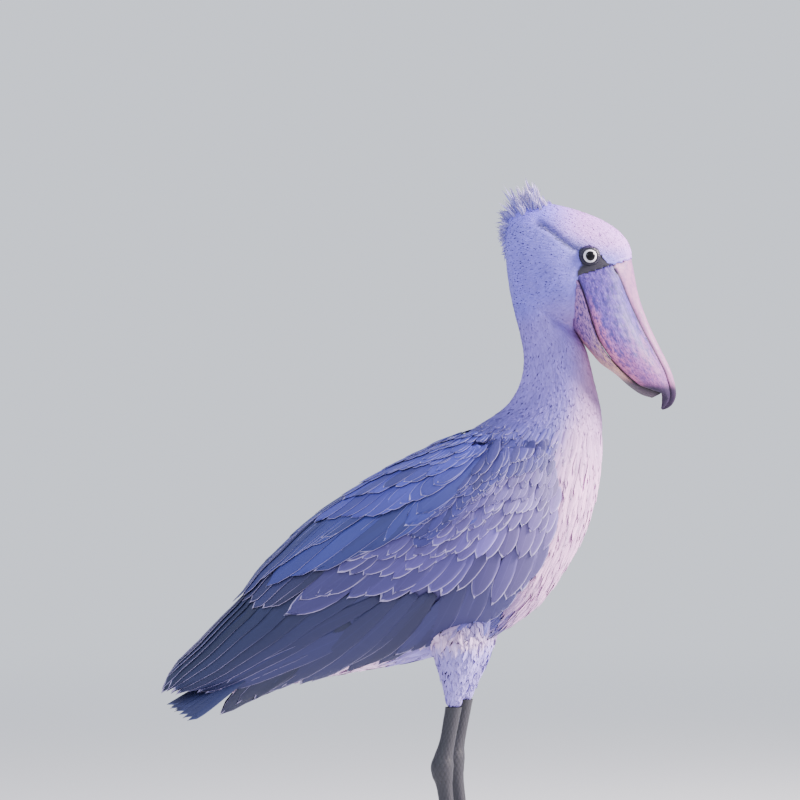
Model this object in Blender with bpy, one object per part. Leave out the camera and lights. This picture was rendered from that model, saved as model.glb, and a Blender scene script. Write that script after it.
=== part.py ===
"""A life-size standing shoebill, as a museum model: a still bird in named solids.

Metres, +Z up. The bird faces +X and stands on the floor at z = 0.
Outlines are given as pairs of points in the bird's own middle plane: one on the back
(or culmen, or crown) and one on the belly (or gape, or jaw), with a half width.
A smooth curve runs through the pairs, and a rounded section stands on each pair.
"""
import math
import random
from collections import namedtuple

import bmesh
import bpy
import numpy as np
from mathutils import Matrix

# Driving dimensions, metres. GAP is kept between neighbours; faces flatter than FLAT_ANGLE are merged
GAP = 0.0003
FLAT_ANGLE = math.radians(0.3)
LEG_HALF_SPREAD = 0.072
FAR_FOOT_FORWARD = 0.018
EYE_RADIUS = 0.0137
EYE_CENTRE = (0.2068, 0.0440, 1.0225)
EYE_AXIS = (0.20, 0.975, 0.06)
LID_RADIUS = 0.0118
LID_THICKNESS = 0.0021
LID_CLEAR = 0.0012
WING_DEPTH = 0.024

# Neck and trunk: back x, back z, front x, front z, half width, wing cover
TRUNK = [
    (0.088, 0.975, 0.170, 0.935, 0.044, 0.0),
    (0.0960, 0.9390, 0.1880, 0.9080, 0.0445, 0.0),
    (0.1050, 0.9030, 0.2030, 0.8850, 0.0445, 0.0),
    (0.1095, 0.8730, 0.2110, 0.8610, 0.0450, 0.0),
    (0.1070, 0.8450, 0.2180, 0.8330, 0.0475, 0.0),
    (0.0970, 0.8180, 0.2260, 0.8050, 0.0530, 0.0),
    (0.0790, 0.7960, 0.2310, 0.7790, 0.0620, 0.0),
    (0.0540, 0.7790, 0.2315, 0.7490, 0.0765, 0.0),
    (0.0270, 0.7620, 0.2300, 0.7160, 0.0920, 0.0),
    (-0.0045, 0.7460, 0.2260, 0.6780, 0.1080, 0.004),
    (-0.0435, 0.7260, 0.2165, 0.6380, 0.1220, 0.010),
    (-0.0850, 0.7050, 0.2000, 0.5960, 0.1320, 0.014),
    (-0.1250, 0.6820, 0.1740, 0.5480, 0.1370, 0.016),
    (-0.1575, 0.6615, 0.1365, 0.4980, 0.1370, 0.018),
    (-0.1920, 0.6375, 0.0850, 0.4580, 0.1310, 0.020),
    (-0.2265, 0.6090, 0.0250, 0.4300, 0.1210, 0.024),
    (-0.2440, 0.5720, -0.0400, 0.4130, 0.1000, 0.026),
    (-0.2560, 0.5340, -0.1020, 0.4010, 0.0780, 0.022),
    (-0.2660, 0.4960, -0.1580, 0.3910, 0.0560, 0.012),
    (-0.2760, 0.4620, -0.2080, 0.3830, 0.0400, 0.004),
    (-0.2870, 0.4320, -0.2500, 0.3750, 0.0320, 0.0),
    (-0.3040, 0.4060, -0.2840, 0.3680, 0.0230, 0.0),
    (-0.3260, 0.3860, -0.3180, 0.3640, 0.0120, 0.0),
    (-0.3360, 0.3770, -0.3320, 0.3680, 0.0050, 0.0),
]
NECK_END = 7
TRUNK_WING_START = 8

# Outer surface of the folded wings: the trunk's first rows under the wing, then on to the tips
WING_TAIL_ROWS = [
    (-0.2565, 0.5790, -0.0400, 0.4120, 0.1075),
    (-0.2850, 0.5505, -0.1050, 0.4000, 0.0920),
    (-0.3120, 0.5130, -0.1650, 0.3880, 0.0760),
    (-0.3465, 0.4785, -0.2250, 0.3740, 0.0610),
    (-0.3810, 0.4410, -0.2850, 0.3580, 0.0470),
    (-0.4125, 0.4095, -0.3450, 0.3400, 0.0350),
    (-0.4350, 0.3740, -0.4050, 0.3250, 0.0240),
]
# Wing outline on that surface: row number, upper edge angle, lower edge angle, radians from the back
WING_EDGE = [
    (0.5, 0.75, 1.10),
    (1.0, 0.45, 1.65),
    (2.0, 0.25, 2.05),
    (3.0, 0.15, 2.20),
    (4.0, 0.10, 2.22),
    (5.0, 0.08, 2.25),
    (6.0, 0.07, 2.32),
    (7.0, 0.07, 2.38),
    (8.0, 0.07, 2.30),
    (9.0, 0.08, 2.15),
    (10.0, 0.09, 2.00),
    (11.0, 0.11, 1.85),
    (12.0, 0.14, 1.70),
    (13.0, 0.22, 1.55),
    (13.9, 0.45, 1.20),
]

# Head: crown x, z, jaw x, z, half width
HEAD = [
    (0.0835, 1.0620, 0.0815, 1.0400, 0.0120),
    (0.0880, 1.0780, 0.0830, 1.0150, 0.0290),
    (0.1000, 1.0890, 0.0865, 0.9850, 0.0415),
    (0.1200, 1.0970, 0.0950, 0.9560, 0.0500),
    (0.1485, 1.1010, 0.1180, 0.9420, 0.0550),
    (0.1750, 1.0960, 0.1400, 0.9320, 0.0575),
    (0.2000, 1.0885, 0.1575, 0.9210, 0.0562),
    (0.2250, 1.0785, 0.1700, 0.9130, 0.0540),
    (0.2435, 1.0680, 0.1790, 0.9110, 0.0515),
    (0.2570, 1.0570, 0.1840, 0.9105, 0.0490),
    (0.2685, 1.0420, 0.1900, 0.9110, 0.0460),
    (0.2735, 1.0270, 0.2000, 0.9120, 0.0430),
    (0.2760, 1.0130, 0.2150, 0.9130, 0.0400),
]
# Bill: culmen x, z, gape x, z, underside x, z, half width of both halves
BILL = [
    (0.2715, 1.0185, 0.1890, 0.9930, 0.1845, 0.9125, 0.0525, 0.0525),
    (0.2760, 0.9950, 0.1970, 0.9740, 0.1865, 0.9090, 0.0548, 0.0540),
    (0.2820, 0.9645, 0.2055, 0.9480, 0.1910, 0.9030, 0.0565, 0.0548),
    (0.2925, 0.9330, 0.2135, 0.9205, 0.1985, 0.8920, 0.0570, 0.0550),
    (0.3060, 0.9015, 0.2250, 0.8925, 0.2100, 0.8780, 0.0560, 0.0540),
    (0.3210, 0.8715, 0.2415, 0.8680, 0.2260, 0.8600, 0.0520, 0.0500),
    (0.3320, 0.8475, 0.2635, 0.8455, 0.2470, 0.8450, 0.0440, 0.0420),
    (0.3380, 0.8260, 0.2840, 0.8290, 0.2680, 0.8265, 0.0330, 0.0310),
    (0.3390, 0.8115, 0.3030, 0.8215, 0.2860, 0.8140, 0.0220, 0.0200),
    (0.3340, 0.7995, 0.3165, 0.8165, 0.3030, 0.8085, 0.0125, 0.0085),
    (0.3270, 0.7935, 0.3180, 0.8030, 0.0, 0.0, 0.0070, 0.0),
    (0.3190, 0.7905, 0.3165, 0.7930, 0.0, 0.0, 0.0025, 0.0),
]
# Share of the half width at each share of the way from culmen to gape
UPPER_PROFILE = [(0.0, 0.0), (0.02, 0.09), (0.09, 0.16), (0.15, 0.20), (0.21, 0.42), (0.36, 0.66),
                 (0.58, 0.86), (0.82, 0.98), (1.0, 1.0)]
# Share of the half width at each share of the way from gape to underside
LOWER_PROFILE = [(0.0, 1.0), (0.25, 0.97), (0.50, 0.88), (0.72, 0.70), (0.90, 0.42), (1.0, 0.12)]

# Leg: x, z, half depth, half width
THIGH = [
    (0.014, 0.500, 0.050, 0.040),
    (0.013, 0.465, 0.048, 0.040),
    (0.011, 0.432, 0.041, 0.036),
    (0.010, 0.405, 0.032, 0.029),
    (0.008, 0.380, 0.023, 0.021),
    (0.006, 0.360, 0.0170, 0.0160),
    (0.005, 0.350, 0.0145, 0.0140),
]
LEG = [
    (0.0050, 0.3497, 0.0125, 0.0115),
    (0.0015, 0.330, 0.0115, 0.0105),
    (-0.0040, 0.300, 0.0112, 0.0102),
    (-0.0095, 0.278, 0.0135, 0.0125),
    (-0.0120, 0.262, 0.0165, 0.0150),
    (-0.0115, 0.246, 0.0150, 0.0130),
    (-0.0080, 0.225, 0.0112, 0.0095),
    (0.0000, 0.160, 0.0100, 0.0085),
    (0.0060, 0.090, 0.0102, 0.0088),
    (0.0095, 0.052, 0.0120, 0.0115),
    (0.0115, 0.032, 0.0155, 0.0165),
    (0.0125, 0.016, 0.0170, 0.0190),
    (0.0130, 0.005, 0.0160, 0.0180),
    (0.0130, 0.000, 0.0130, 0.0150),
]
ANKLE_SPLIT = 4.6
# Toe: bearing in degrees and sideways place of its root (both positive outwards), length, radius at root
TOES = [
    ("middle", 2.0, 0.0, 0.162, 0.0095),
    ("hind", 186.0, 0.0, 0.078, 0.0088),
    ("inner", -22.0, -0.010, 0.122, 0.0086),
    ("outer", 34.0, 0.010, 0.132, 0.0086),
]
CLAW_LENGTH = 0.023
CLAW_RADIUS = 0.0052

# Wing feathers in tiers, from the wing's edge up. Roots run from first to last (row, angle); length
# in rows and drift in angle are at the first and last feather; bed is the height where a feather
# leaves the core, rise that of its tip, stack what each next tip adds to it, roll is in radians.
Tier = namedtuple("Tier", "name count first last length drift "
                          "half_width thickness bed rise stack roll steps midrib")
WING_TIERS = [
    Tier("primary", 6, (7.0, 1.86), (7.6, 0.85), (6.3, 6.3), (-0.40, -0.30),
         0.0150, 0.0009, -0.0030, -0.0010, 0.0009, 0.17, 4, False),
    Tier("secondary", 7, (4.2, 2.00), (7.4, 1.14), (2.9, 3.7), (0.26, -0.08),
         0.0165, 0.0009, -0.0006, 0.0018, 0.0002, 0.16, 3, False),
    Tier("greater_covert", 7, (3.2, 1.98), (6.2, 1.15), (1.7, 1.8), (0.12, 0.03),
         0.0155, 0.0008, 0.0, 0.0044, 0.0, 0.13, 2, False),
    Tier("median_covert", 6, (2.5, 1.98), (5.1, 1.20), (1.35, 1.35), (0.13, 0.03),
         0.0160, 0.0008, 0.0002, 0.0050, 0.0, 0.13, 2, False),
    Tier("lesser_covert", 6, (1.6, 1.84), (4.2, 1.20), (1.15, 1.15), (0.14, 0.04),
         0.0145, 0.0008, 0.0002, 0.0050, 0.0, 0.13, 2, False),
    Tier("marginal_covert", 4, (1.0, 1.52), (3.0, 1.22), (1.10, 1.10), (0.14, 0.05),
         0.0145, 0.0008, 0.0002, 0.0050, 0.0, 0.13, 2, False),
    Tier("tertial", 4, (5.2, 1.06), (5.6, 0.28), (4.2, 5.0), (0.02, 0.06),
         0.0225, 0.0010, 0.0020, 0.0056, 0.0002, 0.13, 4, True),
    Tier("scapular", 4, (3.4, 1.10), (3.9, 0.26), (2.6, 2.7), (0.00, 0.03),
         0.0225, 0.0010, 0.0020, 0.0072, 0.0, 0.11, 3, True),
    Tier("upper_scapular", 4, (1.5, 1.12), (1.9, 0.36), (2.5, 2.5), (0.02, -0.04),
         0.0210, 0.0009, 0.0018, 0.0072, 0.0, 0.11, 3, False),
]
# Each feather varies at random by up to this: root in rows and in angle, share of the length, drift
ROW_SCATTER = 0.05
ANGLE_SCATTER = 0.012
LENGTH_SCATTER = 0.04
DRIFT_SCATTER = 0.01
FEATHER_SINK = 0.0075
WING_CORE_END = 8.4
WING_CORE_LIFT = -0.0028
WING_CORE_RIM = 0.004
# Tail: root of the middle feather, its tip, fan and drop of each feather outwards
TAIL_SIDE_FEATHERS = 5
TAIL_ROOT = (-0.266, 0.432)
TAIL_TIP = (-0.424, 0.349)
TAIL_FAN = 0.040
TAIL_HALF_WIDTH = 0.0165
TAIL_THICKNESS = 0.0010
TAIL_DROP = 0.030
# Body under the tail feathers' roots: share of their length, half width, half depth
TAIL_STUMP = [(-0.10, 0.018, 0.013), (0.0, 0.024, 0.014), (0.12, 0.029, 0.011), (0.26, 0.030, 0.006),
              (0.36, 0.028, 0.003)]
# Crest: how far the tips reach at bearings in degrees, from upwards and ahead to backwards and down
CREST_ROOT = (0.107, 1.077)
CREST_COUNT = 21
CREST_REACH = [(58, 0.036), (70, 0.051), (80, 0.056), (95, 0.048), (112, 0.053), (128, 0.045), (150, 0.038),
               (176, 0.050), (192, 0.038), (206, 0.030)]
CREST_SPREAD = 0.017
CREST_HALF_WIDTH = 0.0047
CREST_THICKNESS = 0.0010
# Half length, half width and half height of the cushion that the crest grows from
CUSHION = (0.022, 0.021, 0.013)
NOSTRIL_ROW = 0.45
NOSTRIL_SHARE = 0.25
NOSTRIL_RADIUS = 0.0016
NOSTRIL_HALF_LENGTH = 0.0055


def clear_scene():
    for item in list(bpy.data.objects):
        bpy.data.objects.remove(item, do_unlink=True)


def material(name, colour, roughness, metallic=0.0):
    made = bpy.data.materials.get(name) or bpy.data.materials.new(name)
    made.use_nodes = True
    shader = made.node_tree.nodes["Principled BSDF"]
    shader.inputs["Base Color"].default_value = (*colour, 1.0)
    shader.inputs["Roughness"].default_value = roughness
    shader.inputs["Metallic"].default_value = metallic
    return made


def spline(rows, at):
    """Smooth curve through the rows at whole numbers, read at the positions in at."""
    rows = np.asarray(rows, float)
    at = np.atleast_1d(np.asarray(at, float))
    last = len(rows) - 1
    step = np.clip(np.floor(at).astype(int), 0, last - 1)
    part = (at - step)[:, None]
    slope = np.gradient(rows, axis=0)
    start, end = rows[step], rows[step + 1]
    first, second = slope[step], slope[step + 1]
    square, cube = part ** 2, part ** 3
    return ((2 * cube - 3 * square + 1) * start + (cube - 2 * square + part) * first
            + (3 * square - 2 * cube) * end + (cube - square) * second)


def mesh_object(name, points, faces, finish=None):
    """A named object from points and faces, with its faces turned outwards."""
    data = bpy.data.meshes.new(name)
    data.from_pydata([tuple(p) for p in points], [], faces)
    work = bmesh.new()
    work.from_mesh(data)
    bmesh.ops.triangulate(work, faces=work.faces[:])
    bmesh.ops.recalc_face_normals(work, faces=work.faces[:])
    work.to_mesh(data)
    work.free()
    made = bpy.data.objects.new(name, data)
    bpy.context.collection.objects.link(made)
    if finish:
        data.materials.append(finish)
    return made


def loft(name, rings, finish=None):
    """A closed body through rings of points, all of one count, with flat ends."""
    rings = np.asarray(rings, float)
    count, sides = rings.shape[:2]
    faces = []
    for i in range(count - 1):
        for j in range(sides):
            k = (j + 1) % sides
            faces.append((i * sides + j, i * sides + k, (i + 1) * sides + k, (i + 1) * sides + j))
    faces.append(tuple(range(sides)))
    faces.append(tuple((count - 1) * sides + j for j in range(sides)))
    return mesh_object(name, rings.reshape(-1, 3), faces, finish)


def section_rings(rows, at, sides, roundness=1.0, low=1.0):
    """Rounded sections on the pairs of rows: back x, z, front x, z, half width."""
    read = spline(np.asarray(rows, float)[:, :5], at)
    turn = np.linspace(0.0, 2 * math.pi, sides, endpoint=False)
    share = ((1 - np.cos(turn)) / 2) ** low
    across = np.sign(np.sin(turn)) * np.abs(np.sin(turn)) ** roundness
    x = read[:, 0:1] + (read[:, 2:3] - read[:, 0:1]) * share
    z = read[:, 1:2] + (read[:, 3:4] - read[:, 1:2]) * share
    y = read[:, 4:5] * across
    return np.stack([x, y, z], axis=2)


def copy_of(source, name):
    """A second object with its own copy of the mesh."""
    made = bpy.data.objects.new(name, source.data.copy())
    bpy.context.collection.objects.link(made)
    return made


def grown(source, distance):
    """A copy whose faces stand a distance outside the source's."""
    made = copy_of(source, source.name + "_grown")
    work = bmesh.new()
    work.from_mesh(made.data)
    work.normal_update()
    moves = [v.normal * distance * v.calc_shell_factor() for v in work.verts]
    for vertex, move in zip(work.verts, moves):
        vertex.co += move
    work.to_mesh(made.data)
    work.free()
    return made


def remove(item):
    data = item.data
    bpy.data.objects.remove(item, do_unlink=True)
    if data.users == 0:
        bpy.data.meshes.remove(data)


def apply_modifiers(item):
    """Replaces the mesh by what its modifiers make of it."""
    bpy.context.view_layer.update()
    graph = bpy.context.evaluated_depsgraph_get()
    old = item.data
    item_mesh = bpy.data.meshes.new_from_object(item.evaluated_get(graph))
    item.modifiers.clear()
    item.data = item_mesh
    item_mesh.name = item.name
    bpy.data.meshes.remove(old)


def keep_largest(item):
    """Keeps the largest closed surface, which drops loose scraps and sealed hollows."""
    work = bmesh.new()
    work.from_mesh(item.data)
    bmesh.ops.triangulate(work, faces=work.faces[:])
    bmesh.ops.remove_doubles(work, verts=work.verts[:], dist=1e-6)
    bmesh.ops.dissolve_degenerate(work, dist=2e-6, edges=work.edges[:])
    bmesh.ops.dissolve_limit(work, angle_limit=FLAT_ANGLE, verts=work.verts[:], edges=work.edges[:])
    bmesh.ops.triangulate(work, faces=work.faces[:])
    seen, best, best_size = set(), [], -1.0
    for first in work.faces:
        if first in seen:
            continue
        group, queue = [], [first]
        seen.add(first)
        while queue:
            face = queue.pop()
            group.append(face)
            for edge in face.edges:
                for other in edge.link_faces:
                    if other not in seen:
                        seen.add(other)
                        queue.append(other)
        size = abs(sum(f.verts[0].co.dot(f.verts[1].co.cross(f.verts[2].co)) for f in group))
        if size > best_size:
            best, best_size = group, size
    keep = set(best)
    bmesh.ops.delete(work, geom=[f for f in work.faces if f not in keep], context="FACES")
    work.to_mesh(item.data)
    work.free()


def cut(item, others, distance=GAP, solver="EXACT"):
    """Cuts item clear of the others, by a distance."""
    for other in others:
        tool = grown(other, distance)
        change = item.modifiers.new("cut", "BOOLEAN")
        change.operation = "DIFFERENCE"
        change.solver = solver
        change.object = tool
        apply_modifiers(item)
        remove(tool)
    keep_largest(item)


def join(item, pieces, solver="EXACT"):
    """Fuses item and the pieces into one closed body."""
    group = bpy.data.collections.new(item.name + "_pieces")
    bpy.context.scene.collection.children.link(group)
    for piece in pieces:
        bpy.context.collection.objects.unlink(piece)
        group.objects.link(piece)
    change = item.modifiers.new("join", "BOOLEAN")
    change.operation = "UNION"
    change.solver = solver
    change.operand_type = "COLLECTION"
    change.collection = group
    apply_modifiers(item)
    for piece in list(group.objects):
        remove(piece)
    bpy.data.collections.remove(group)
    keep_largest(item)


def trunk_rows():
    """Trunk rows with the depth of the wings taken off the back and flanks."""
    rows = []
    for back_x, back_z, front_x, front_z, half, cover in TRUNK:
        run = math.hypot(front_x - back_x, front_z - back_z)
        back_x += (front_x - back_x) * cover / run
        back_z += (front_z - back_z) * cover / run
        rows.append((back_x, back_z, front_x, front_z, half - cover))
    return rows


def make_neck(finish):
    split = NECK_END - 0.010
    return loft("neck", section_rings(trunk_rows(), np.linspace(0, split, 15), 20), finish)


def make_torso(finish):
    rows = trunk_rows()
    at = np.linspace(NECK_END + 0.010, len(rows) - 1, 23)
    return loft("torso", section_rings(rows, at, 26), finish)


def make_head(finish):
    at = np.linspace(0, len(HEAD) - 1, 24)
    return loft("head", section_rings(HEAD, at, 26, 0.85, 0.92), finish)


def bill_room():
    """The room in front of the face that the bill fills, as a block across the head."""
    culmen, gape, jaw = np.array(BILL[0][0:2]), np.array(BILL[0][2:4]), np.array(BILL[0][4:6])
    ahead = gape + (culmen - gape) * 1.6
    below = jaw + (jaw - gape) * 0.4
    corners = [tuple(gape), tuple(ahead), (0.40, ahead[1]), (0.40, below[1]), tuple(below)]
    rings = [[(x, y, z) for x, z in corners] for y in (-0.09, 0.09)]
    return loft("bill_room", rings)


def half_space(side):
    """A block that fills the other side of the bird's middle plane."""
    corners = ((-0.6, 0.2), (0.3, 0.2), (0.3, 0.9), (-0.6, 0.9))
    rings = [[(x, -side * y, z) for x, z in corners] for y in (0.0, 0.3)]
    return loft("other_side", rings)


def profile_ring(upper, lower, half, profile):
    """A section from an upper to a lower point, its half width a profile's share."""
    right = [(upper[0] + (lower[0] - upper[0]) * t, -half * k, upper[1] + (lower[1] - upper[1]) * t)
             for t, k in profile]
    left = [(x, -y, z) for x, y, z in reversed(right) if abs(y) > 1e-9]
    return right + left


def make_bill_upper(finish):
    at = np.concatenate([np.linspace(0, 9, 19), [9.5, 10.0, 10.5, 11.0]])
    rows = spline(np.asarray(BILL)[:, [0, 1, 2, 3, 6]], at)
    rings = [profile_ring(r[0:2], r[2:4], r[4], UPPER_PROFILE) for r in rows]
    return loft("bill_upper", rings, finish)


def make_bill_lower(finish):
    at = np.linspace(0, 9, 19)
    rows = spline(np.asarray(BILL[:10])[:, [2, 3, 4, 5, 7]], at)
    rings = []
    for r in rows:
        run = math.hypot(r[2] - r[0], r[3] - r[1])
        shift = 2 * GAP / run
        top = (r[0] + (r[2] - r[0]) * shift, r[1] + (r[3] - r[1]) * shift)
        rings.append(profile_ring(top, r[2:4], r[4], LOWER_PROFILE))
    return loft("bill_lower", rings, finish)


def make_eye(side, name, finish):
    data = bpy.data.meshes.new(name)
    work = bmesh.new()
    bmesh.ops.create_uvsphere(work, u_segments=14, v_segments=8, radius=EYE_RADIUS)
    bmesh.ops.triangulate(work, faces=work.faces[:])
    turn = Matrix.Rotation(math.radians(90), 3, "X")
    bmesh.ops.rotate(work, verts=work.verts[:], cent=(0, 0, 0), matrix=turn)
    work.to_mesh(data)
    work.free()
    centre = np.array(EYE_CENTRE) * (1, side, 1)
    for vertex in data.vertices:
        vertex.co = tuple(np.array(vertex.co) + centre)
    made = bpy.data.objects.new(name, data)
    bpy.context.collection.objects.link(made)
    data.materials.append(finish)
    return made


def lid_ring(side, name):
    """The lids: a ring round the eye, standing a little proud of the face."""
    axis = np.array(EYE_AXIS) * (1, side, 1)
    axis /= np.linalg.norm(axis)
    up = np.array((0.0, 0.0, 1.0))
    first = np.cross(up, axis)
    first /= np.linalg.norm(first)
    second = np.cross(axis, first)
    depth = math.sqrt(EYE_RADIUS ** 2 - LID_RADIUS ** 2)
    centre = np.array(EYE_CENTRE) * (1, side, 1) + axis * depth
    sides, steps = 4, 14
    points, faces = [], []
    for i in range(steps):
        turn = 2 * math.pi * i / steps
        out = math.cos(turn) * first + math.sin(turn) * second
        for j in range(sides):
            tip = 2 * math.pi * j / sides
            reach = LID_RADIUS + LID_CLEAR + LID_THICKNESS * math.cos(tip)
            points.append(centre + out * reach + axis * LID_THICKNESS * math.sin(tip))
    for i in range(steps):
        for j in range(sides):
            a, b = i * sides + j, i * sides + (j + 1) % sides
            c, d = ((i + 1) % steps) * sides + (j + 1) % sides, ((i + 1) % steps) * sides + j
            faces.append((a, b, c, d))
    return mesh_object(name, points, faces)


def wing_rows():
    """Rows of the wing's outer surface, from the shoulder to the tips."""
    rows = [row[:5] for row in TRUNK[TRUNK_WING_START:TRUNK_WING_START + 8]]
    return rows + WING_TAIL_ROWS


def wing_surface(at, angle, side, lift):
    """Points and outward normals on the wing's outer surface, a lift outside it."""
    at, angle, lift = np.broadcast_arrays(*(np.asarray(value, float) for value in (at, angle, lift)))

    def place(a, b):
        read = spline(wing_rows(), a.ravel()).reshape(a.shape + (5,))
        share = (1 - np.cos(b)) / 2
        x = read[..., 0] + (read[..., 2] - read[..., 0]) * share
        z = read[..., 1] + (read[..., 3] - read[..., 1]) * share
        return np.stack([x, side * read[..., 4] * np.sin(b), z], axis=-1)

    step = 0.01
    point = place(at, angle)
    along = place(at + step, angle) - place(at - step, angle)
    round_ = place(at, angle + step) - place(at, angle - step)
    normal = -np.cross(along, round_) * side
    normal /= np.linalg.norm(normal, axis=-1, keepdims=True)
    return point + normal * lift[..., None], normal


def make_wing_core(side, name, finish):
    """A plate that follows the flank from the shoulder to just behind the elbow."""
    rows = np.array(WING_EDGE)
    count, across = 10, 6
    at = np.linspace(rows[0, 0], WING_CORE_END, count)
    high = np.interp(at, rows[:, 0], rows[:, 1])
    low = np.interp(at, rows[:, 0], rows[:, 2]) - 0.16
    share = np.linspace(0, 1, across)
    angle = high[:, None] + (low - high)[:, None] * share[None, :]
    rows_in = np.minimum(np.arange(count), np.arange(count)[::-1]) / (count - 1)
    ends = np.sqrt(np.clip(rows_in * 6, 0, 1))[:, None]
    rim = np.sqrt(np.clip(np.minimum(share, 1 - share) * 5, 0, 1))[None, :]
    taper = np.interp(at, [0, 6, WING_CORE_END], [1.0, 1.0, 0.30])[:, None]
    depth = (WING_CORE_RIM + (WING_DEPTH - WING_CORE_RIM) * ends * rim) * taper
    outer, _ = wing_surface(at[:, None], angle, side, WING_CORE_LIFT - 0.003 * (1 - rim))
    inner, _ = wing_surface(at[:, None], angle, side, WING_CORE_LIFT - WING_CORE_RIM - depth)
    rings = np.concatenate([outer, inner[:, ::-1]], axis=1)
    return loft(name, rings, finish)


def vane_mesh(name, middle, across, up, half_width, thickness, midrib):
    """A closed thin blade along the points middle, its two faces split alike into triangles."""
    count = len(middle)
    half = half_width[:, None]
    thin = thickness[:, None] / 2
    sink = up * (half * 0.04)
    left, right = middle - across * half - sink, middle + across * half - sink
    if midrib:
        rings = np.stack([left - up * thin, middle - up * thin, right - up * thin,
                          right + up * thin, middle + up * thin, left + up * thin], axis=1)
        strips = [(0, 1), (2, 1), (3, 4), (5, 4)]
        walls = [(2, 3), (5, 0)]
        caps = [(0, 1, 4, 5), (1, 2, 3, 4)]
    else:
        rings = np.stack([left - up * thin, right - up * thin, right + up * thin, left + up * thin], axis=1)
        strips = [(0, 1), (3, 2)]
        walls = [(1, 2), (3, 0)]
        caps = [(0, 1, 2, 3)]
    sides = rings.shape[1]
    faces = []
    for i in range(count - 1):
        here, ahead = i * sides, (i + 1) * sides
        for edge, rib in strips:
            faces.append((here + edge, here + rib, ahead + edge))
            faces.append((here + rib, ahead + rib, ahead + edge))
        for a, b in walls:
            faces.append((here + a, here + b, ahead + b))
            faces.append((here + a, ahead + b, ahead + a))
    for cap in caps:
        faces.append(tuple(cap))
        faces.append(tuple((count - 1) * sides + c for c in cap))
    return mesh_object(name, rings.reshape(-1, 3), faces)


def wing_vane(tier, side, root, length, drift, rise):
    """One feather on the wing's surface, from a sunk root to a lifted, rounded tip."""
    leaving = 0.12
    share = np.append(0.0, np.linspace(leaving, 1, tier.steps + 1))
    lift = np.interp(share, [0.0, leaving, 1.0], [-FEATHER_SINK, tier.bed, rise])
    middle, up = wing_surface(root[0] + length * share, root[1] + drift * share, side, lift)
    ahead = np.gradient(middle, axis=0)
    ahead /= np.linalg.norm(ahead, axis=1, keepdims=True)
    across = np.cross(ahead, up) * side
    across /= np.linalg.norm(across, axis=1, keepdims=True)
    turned = across * math.cos(tier.roll) + up * math.sin(tier.roll)
    over = up * math.cos(tier.roll) - across * math.sin(tier.roll)
    outline = np.interp(share, [0.0, leaving, 0.6, 0.8, 1.0], [0.5, 0.72, 1.0, 0.94, 0.34])
    thickness = tier.thickness * (1.15 - 0.45 * share)
    return vane_mesh(tier.name, middle, turned, over, tier.half_width * outline, thickness, tier.midrib)


def wing_vanes(side, seed):
    """All feathers of one wing, varied a little in length, width and lie."""
    draw = random.Random(seed)

    def varied(first, last, t, scatter):
        return first + (last - first) * t + draw.uniform(-scatter, scatter)

    vanes = []
    for tier in WING_TIERS:
        for k in range(tier.count):
            t = k / (tier.count - 1)
            row = varied(tier.first[0], tier.last[0], t, ROW_SCATTER)
            angle = varied(tier.first[1], tier.last[1], t, ANGLE_SCATTER)
            length = varied(*tier.length, t, 0.0) * (1 + draw.uniform(-LENGTH_SCATTER, LENGTH_SCATTER))
            drift = varied(*tier.drift, t, DRIFT_SCATTER)
            vanes.append(wing_vane(tier, side, (row, angle), length, drift, tier.rise + tier.stack * k))
    return vanes


def leg_rings(rows, at, side, forward, sides=10):
    read = spline(rows, at)
    turn = np.linspace(0, 2 * math.pi, sides, endpoint=False)
    x = read[:, 0:1] + forward + read[:, 2:3] * np.cos(turn)
    y = side * LEG_HALF_SPREAD + read[:, 3:4] * np.sin(turn)
    z = read[:, 1:2] + 0 * turn
    return np.stack([x, y, z], axis=2)


def make_thigh(side, forward, name, finish):
    return loft(name, leg_rings(THIGH, np.linspace(0, len(THIGH) - 1, 7), side, forward, 12), finish)


def make_shank(side, forward, name, finish):
    return loft(name, leg_rings(LEG, np.linspace(0, ANKLE_SPLIT, 8), side, forward), finish)


def make_tarsus(side, forward, name, finish):
    at = np.linspace(ANKLE_SPLIT + 0.025, len(LEG) - 1, 13)
    return loft(name, leg_rings(LEG, at, side, forward), finish)


def toe_frame(bearing, aside, side, forward):
    """Start point and directions of a toe on the floor plan."""
    angle = math.radians(bearing)
    ahead = np.array((math.cos(angle), side * math.sin(angle), 0.0))
    across = np.array((-ahead[1], ahead[0], 0.0))
    start = np.array((LEG[-1][0] + forward, side * (LEG_HALF_SPREAD + aside), 0.0))
    return start, ahead, across


def make_toe(bearing, aside, length, radius, side, forward, name, finish):
    """A padded toe with a flat sole."""
    start, ahead, across = toe_frame(bearing, aside, side, forward)
    count, sides = 7, 8
    share = np.linspace(0, 1, count)
    pads = 1.0 + 0.07 * np.cos(share * math.pi * 6)
    size = radius * (1.0 - 0.36 * share) * pads
    turn = np.linspace(0, 2 * math.pi, sides, endpoint=False) + math.pi / sides
    rings = []
    for t, r in zip(share, size):
        middle = start + ahead * (0.010 + t * (length - 0.010))
        rise = r * 0.80
        ring = [middle + across * r * math.cos(a) + np.array((0, 0, max(0.0, rise + r * 0.95 * math.sin(a))))
                for a in turn]
        rings.append(ring)
    return loft(name, rings, finish)


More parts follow.
